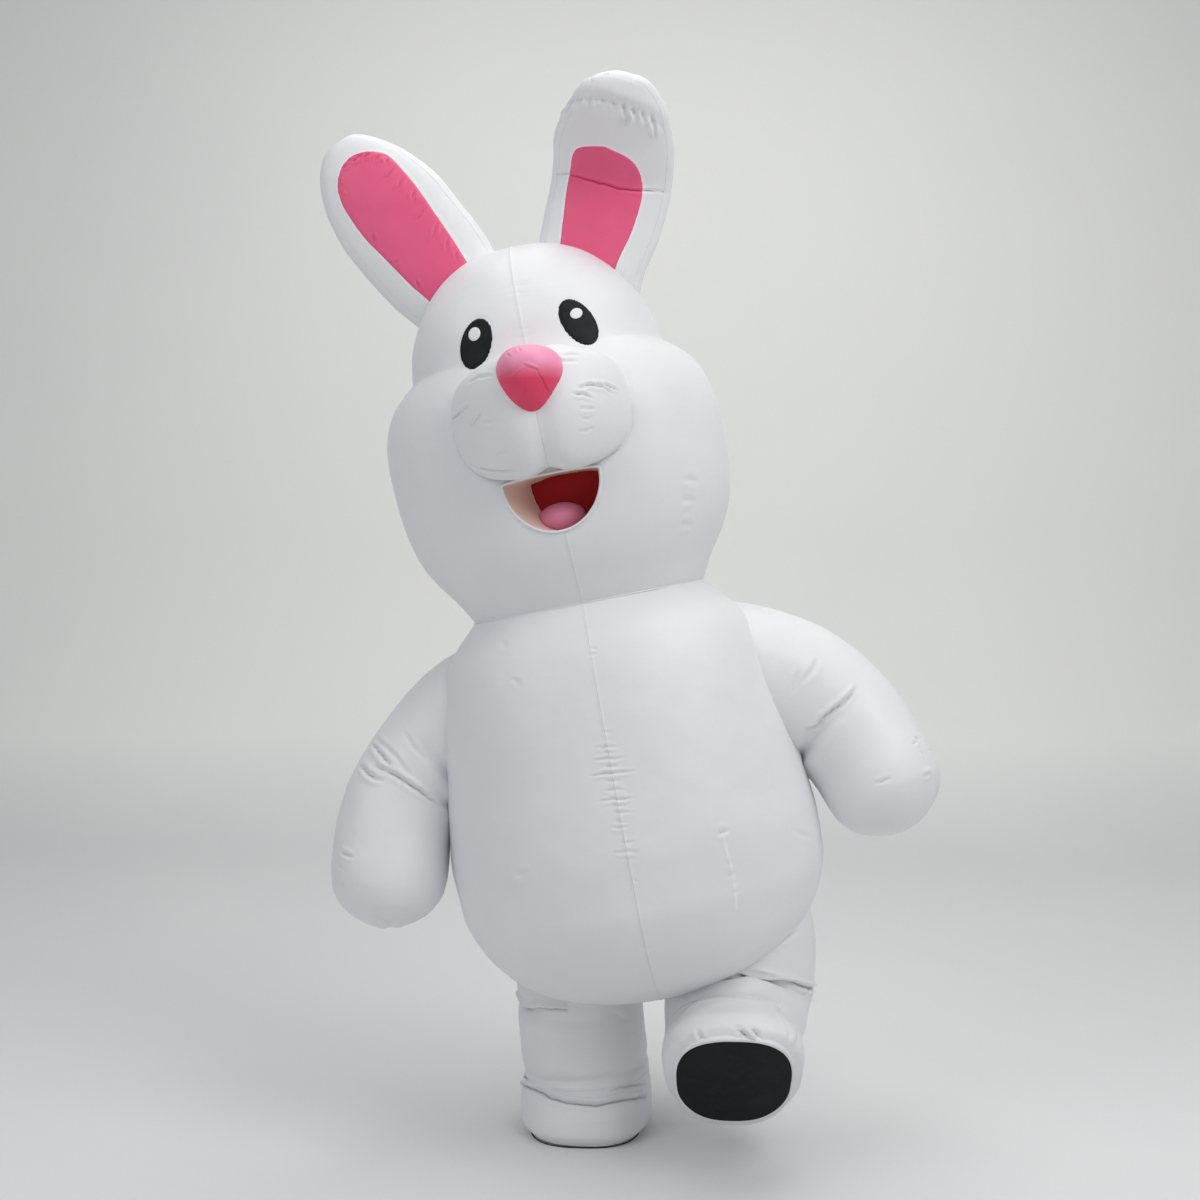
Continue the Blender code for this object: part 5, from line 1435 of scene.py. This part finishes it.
# The legs with their feet and soles.
for side, name in SIDE_NAMES.items():
    leg = limbs["leg"][side]
    ankle = len(LEGS[side]["x"]) / (len(leg_rows(side)["x"]) - 1)
    angles = spaced(math.pi / 2, math.pi / 2 + 2 * math.pi, 196)
    shared = dict(creases=CREASES[f"leg_{name}"], closed=True, seed=41)
    inside, ankle_seed = ("left", 321 + side), 331 + side
    panel(f"leg_panel_{name}", leg, spaced(0.0, ankle, 160, 0.2), angles, white, f"leg_{name}",
          seams=((*inside, 0.6, 0.03), ("end", ankle_seed, 0.7, 0.03)), folded=("end",), wave=0.0024,
          **shared, **joined_to("trunk", leg_holes[name], 0.035))
    panel(f"foot_panel_{name}", leg, spaced(ankle, 1, 88, 0.5), angles, white, f"foot_{name}",
          seams=((*inside, 0.6, 0.02), ("start", ankle_seed, 0.7, 0.03), ("end", 341 + side, 1.1, 0.03)),
          folded=("start", "end"), wave=0.0022, **shared)

    sole, lap, rim = sole_forms(side)
    under = dict(facing=-foot_up(side), closed=True, wave=0.0, seed=43)
    panel(f"sole_pad_{name}", sole, spaced(0, 1, 40), full_turn(130), black_sole, f"sole_{name}", pole=True,
          seams=(("start", 351 + side, 0.2, 0.01),), lift=0.0012, **under)
    if SOLE_LAP[side]:
        panel(f"sole_lap_{name}", lap, np.linspace(0, 1, 24), full_turn(220), white,
              lift=lambda s, a, base: 0.0024 - 0.0018 * s ** 4, **under)
    else:
        # Partly the black sole's edge and partly painted contact shadow: a dark line where the foot meets the
        # floor.
        rope(f"sole_binding_{name}", rim - 0.0006 * foot_up(side), 0.0021, black_sole)


def zip_lift(s, a, base):
    return ZIP_TAPE + 0.0006 * np.cos(a * math.pi / 2) + 0.0003 * cloud(base, 120, 361)


panel("zip_tape_cloth", zip_surface, np.linspace(0, 1, 240), np.linspace(-1, 1, 17), tape_cloth, "zip_tape",
      facing=(0, 1, 0), lift=zip_lift, **BODY_WAVE)


BLOCK_BEVEL = 0.25  # as a share of a block's least length


def blocks(name, centres, axes, size, cloth):
    """Many small rounded blocks in one mesh. Each has its lengths along its own three rows of axes."""
    shape = bmesh.new()
    bmesh.ops.create_cube(shape, size=1.0)
    for vertex in shape.verts:
        for axis in range(3):
            vertex.co[axis] *= size[axis]
    bmesh.ops.bevel(shape, geom=shape.edges[:], offset=BLOCK_BEVEL * min(size), segments=1, affect="EDGES")
    shape.verts.ensure_lookup_table()
    corners = np.array([v.co[:] for v in shape.verts])
    faces = [[v.index for v in f.verts] for f in shape.faces]
    shape.free()
    points = np.einsum("vk,nkd->nvd", corners, axes) + centres[:, None]
    all_faces = [[v + i * len(corners) for v in face] for i in range(len(centres)) for face in faces]
    obj = new_object(name, points.reshape(-1, 3), all_faces, cloth, smooth_shading=False)
    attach(obj, "costume")
    fill_slot()


def along_zip(places, offset, rise):
    """Points and axes on the tape: offset to the wearer's left of its middle, and rise above the cloth."""
    s = ZIP_START + (ZIP_END - ZIP_START) * places
    angle = math.pi / 2 + offset / smooth(TRUNK["half_width"], s)
    out, down, across = normals(trunk, s, angle, None)
    line = trunk(s, angle)
    height = ZIP_TAPE + rise + BODY_WAVE["wave"] * cloud(line, 8.5, BODY_WAVE["seed"])
    return line + out * height[:, None], np.stack([across, down, out], axis=1)


zip_run = np.linspace(0, 1, 800)
zip_lengths = run_of(along_zip(zip_run, 0.0, 0.0)[0])


def zip_places(pitch, phase=0.0):
    """Places down the zip, one at each pitch in metres."""
    count = int(zip_lengths[-1] / pitch)
    places = np.interp((np.arange(count) + 0.5) * pitch, zip_lengths, zip_run)
    return np.clip(places + phase * pitch / zip_lengths[-1], 0, 1)


def zip_rows(pitch, rise, rows):
    """The points and axes of rows down the zip: (offset, phase) each."""
    found = [along_zip(zip_places(pitch, phase), offset, rise) for offset, phase in rows]
    return [np.vstack(arrays) for arrays in zip(*found)]


TOOTH = dict(pitch=0.0040, rise=0.0011, rows=((-0.0019, 0.0), (0.0019, 0.5)))
TOOTH_SIZE = (0.0052, 0.0022, 0.0020)
SLIDER_LAP = 0.001  # the teeth run this far under the slider's ends, and leave the rest of it free
STITCH = dict(pitch=0.0042, rise=0.0004, rows=((-0.0135, 0), (-0.0095, 0), (0.0095, 0), (0.0135, 0)))
STITCH_SIZE = (0.0007, 0.0030, 0.0007)
EYE_STITCH = dict(pitch=0.0062, rise=0.0022, inside=0.0030)
EYE_STITCH_SIZE = (0.0009, 0.0042, 0.0008)

slider_low, slider_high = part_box("zip_slider")
centres, axes = zip_rows(**TOOTH)
clear = (centres[:, 2] < slider_low.z + SLIDER_LAP) | (centres[:, 2] > slider_high.z - SLIDER_LAP)
blocks("zip_teeth", centres[clear], axes[clear], TOOTH_SIZE, tooth_metal)
blocks("zip_stitches", *zip_rows(**STITCH), STITCH_SIZE, white_thread)

# The stitches round the eyes, just inside each patch's edge.
step = 0.002
for side, name in SIDE_NAMES.items():
    size = {key: value - EYE_STITCH["inside"] * key.startswith("half") for key, value in EYES[side].items()}
    centres = fine_path(eye_form(side, size)(np.zeros(80), ring(80)), EYE_STITCH["pitch"], True)[:-1]
    ahead = unit(np.roll(centres, -1, axis=0) - np.roll(centres, 1, axis=0))
    across, up = off_lean(centres)
    out = unit(np.cross(face_point(across + step, up) - face_point(across - step, up),
                        face_point(across, up + step) - face_point(across, up - step)))
    out *= -np.sign(out[:, 1:2])
    axes = np.stack([np.cross(ahead, out), ahead, out], axis=1)
    blocks(f"eye_stitches_{name}", centres + EYE_STITCH["rise"] * out, axes, EYE_STITCH_SIZE, black_thread)

# The CAD slider and pull keep their own shapes.
for node in ("zip_slider", "zip_pull"):
    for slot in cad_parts[node].material_slots:
        slot.material = metal


FLOOR = -HOLD_HEIGHT
BACKDROP = dict(half_width=7, front=-6, bend_start=3.6, wall=5.2, top=7)


def backdrop(name, colour_low, colour_high):
    """A pale floor that runs up into a wall behind in one curve."""
    half_width, front, start, wall, top = BACKDROP.values()
    radius = wall - start
    bend = np.linspace(0, math.pi / 2, 25)[1:]
    x = np.linspace(-half_width, half_width, 15)
    y = np.concatenate([np.linspace(front, start, 12), start + radius * np.sin(bend), [wall]])
    z = FLOOR + np.concatenate([np.zeros(12), radius * (1 - np.cos(bend)), [top]])
    points = stack(x[None, :], y[:, None], z[:, None])
    faces = np.stack(four(np.arange(y.size * x.size).reshape(y.size, x.size)), axis=-1).reshape(-1, 4)
    made = Nodes(name, 0.6, specular=0.25)
    rise = made.spread(made.height(), FLOOR + 0.02, FLOOR + 0.5)
    blotch = made.spread(made.noise(0.7, 3.0), 0.35, 0.65, -0.08, 0.08)
    colour = made.mix(made.calculate("ADD", rise, blotch), colour_low, colour_high)
    made.tree.links.new(colour, made.shader.inputs["Base Color"])
    new_object(name, points.reshape(-1, 3), faces.tolist(), made.material)


def soft_light(name, place, aim, size, power, colour=(1, 1, 1)):
    light = bpy.data.lights.new(name, "AREA")
    light.shape = "RECTANGLE"
    light.size, light.size_y = size
    light.energy = power
    light.color = colour
    obj = bpy.data.objects.new(name, light)
    bpy.context.scene.collection.objects.link(obj)
    obj.location = place
    ahead = unit(np.subtract(aim, place))
    obj.rotation_euler = (math.acos(-ahead[2]), 0, math.atan2(-ahead[0], ahead[1]))


backdrop("studio_floor", (0.78, 0.785, 0.79), (0.95, 0.955, 0.93))
soft_light("key", (2.6, -2.4, 3.0), (0.0, 0.0, 0.2), (2.6, 2.6), 96, (1.0, 0.99, 0.97))
soft_light("top", (0.3, 0.4, 4.2), (0.0, 0.0, 0.0), (3.5, 3.0), 78)
soft_light("fill", (-3.0, -2.6, 2.4), (0.0, 0.0, 0.0), (2.5, 2.5), 41, (0.95, 0.97, 1.0))
soft_light("wall_wash", (0.0, 2.4, 3.6), (0.0, 5.2, 0.7), (5.0, 1.2), 26)

scene = bpy.context.scene
scene.world = bpy.data.worlds.new("studio")
scene.world.use_nodes = True
sky = scene.world.node_tree.nodes["Background"]
sky.inputs["Color"].default_value = (0.96, 0.98, 1.0, 1)
sky.inputs["Strength"].default_value = 0.31
scene.view_settings.view_transform = "Standard"

CAMERA_TURN = math.radians(3.0)
CAMERA_PITCH = math.radians(1.065)
CAMERA_DISTANCE = 3.9
CAMERA_HEIGHT = 0.03
camera = bpy.data.objects.new("camera", bpy.data.cameras.new("camera"))
scene.collection.objects.link(camera)
camera.location = (CAMERA_DISTANCE * math.sin(CAMERA_TURN), -CAMERA_DISTANCE * math.cos(CAMERA_TURN),
                   CAMERA_HEIGHT)
camera.rotation_euler = (math.pi / 2 - CAMERA_PITCH, 0, CAMERA_TURN)
camera.data.lens = 46.8
camera.data.sensor_width = 36.0
camera.data.clip_end = 50
scene.camera = camera

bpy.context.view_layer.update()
for name, wide, long, area in SHEETS:
    print(f"sheet {name} {wide:.3f} x {long:.3f} m, {area:.4f} m2")
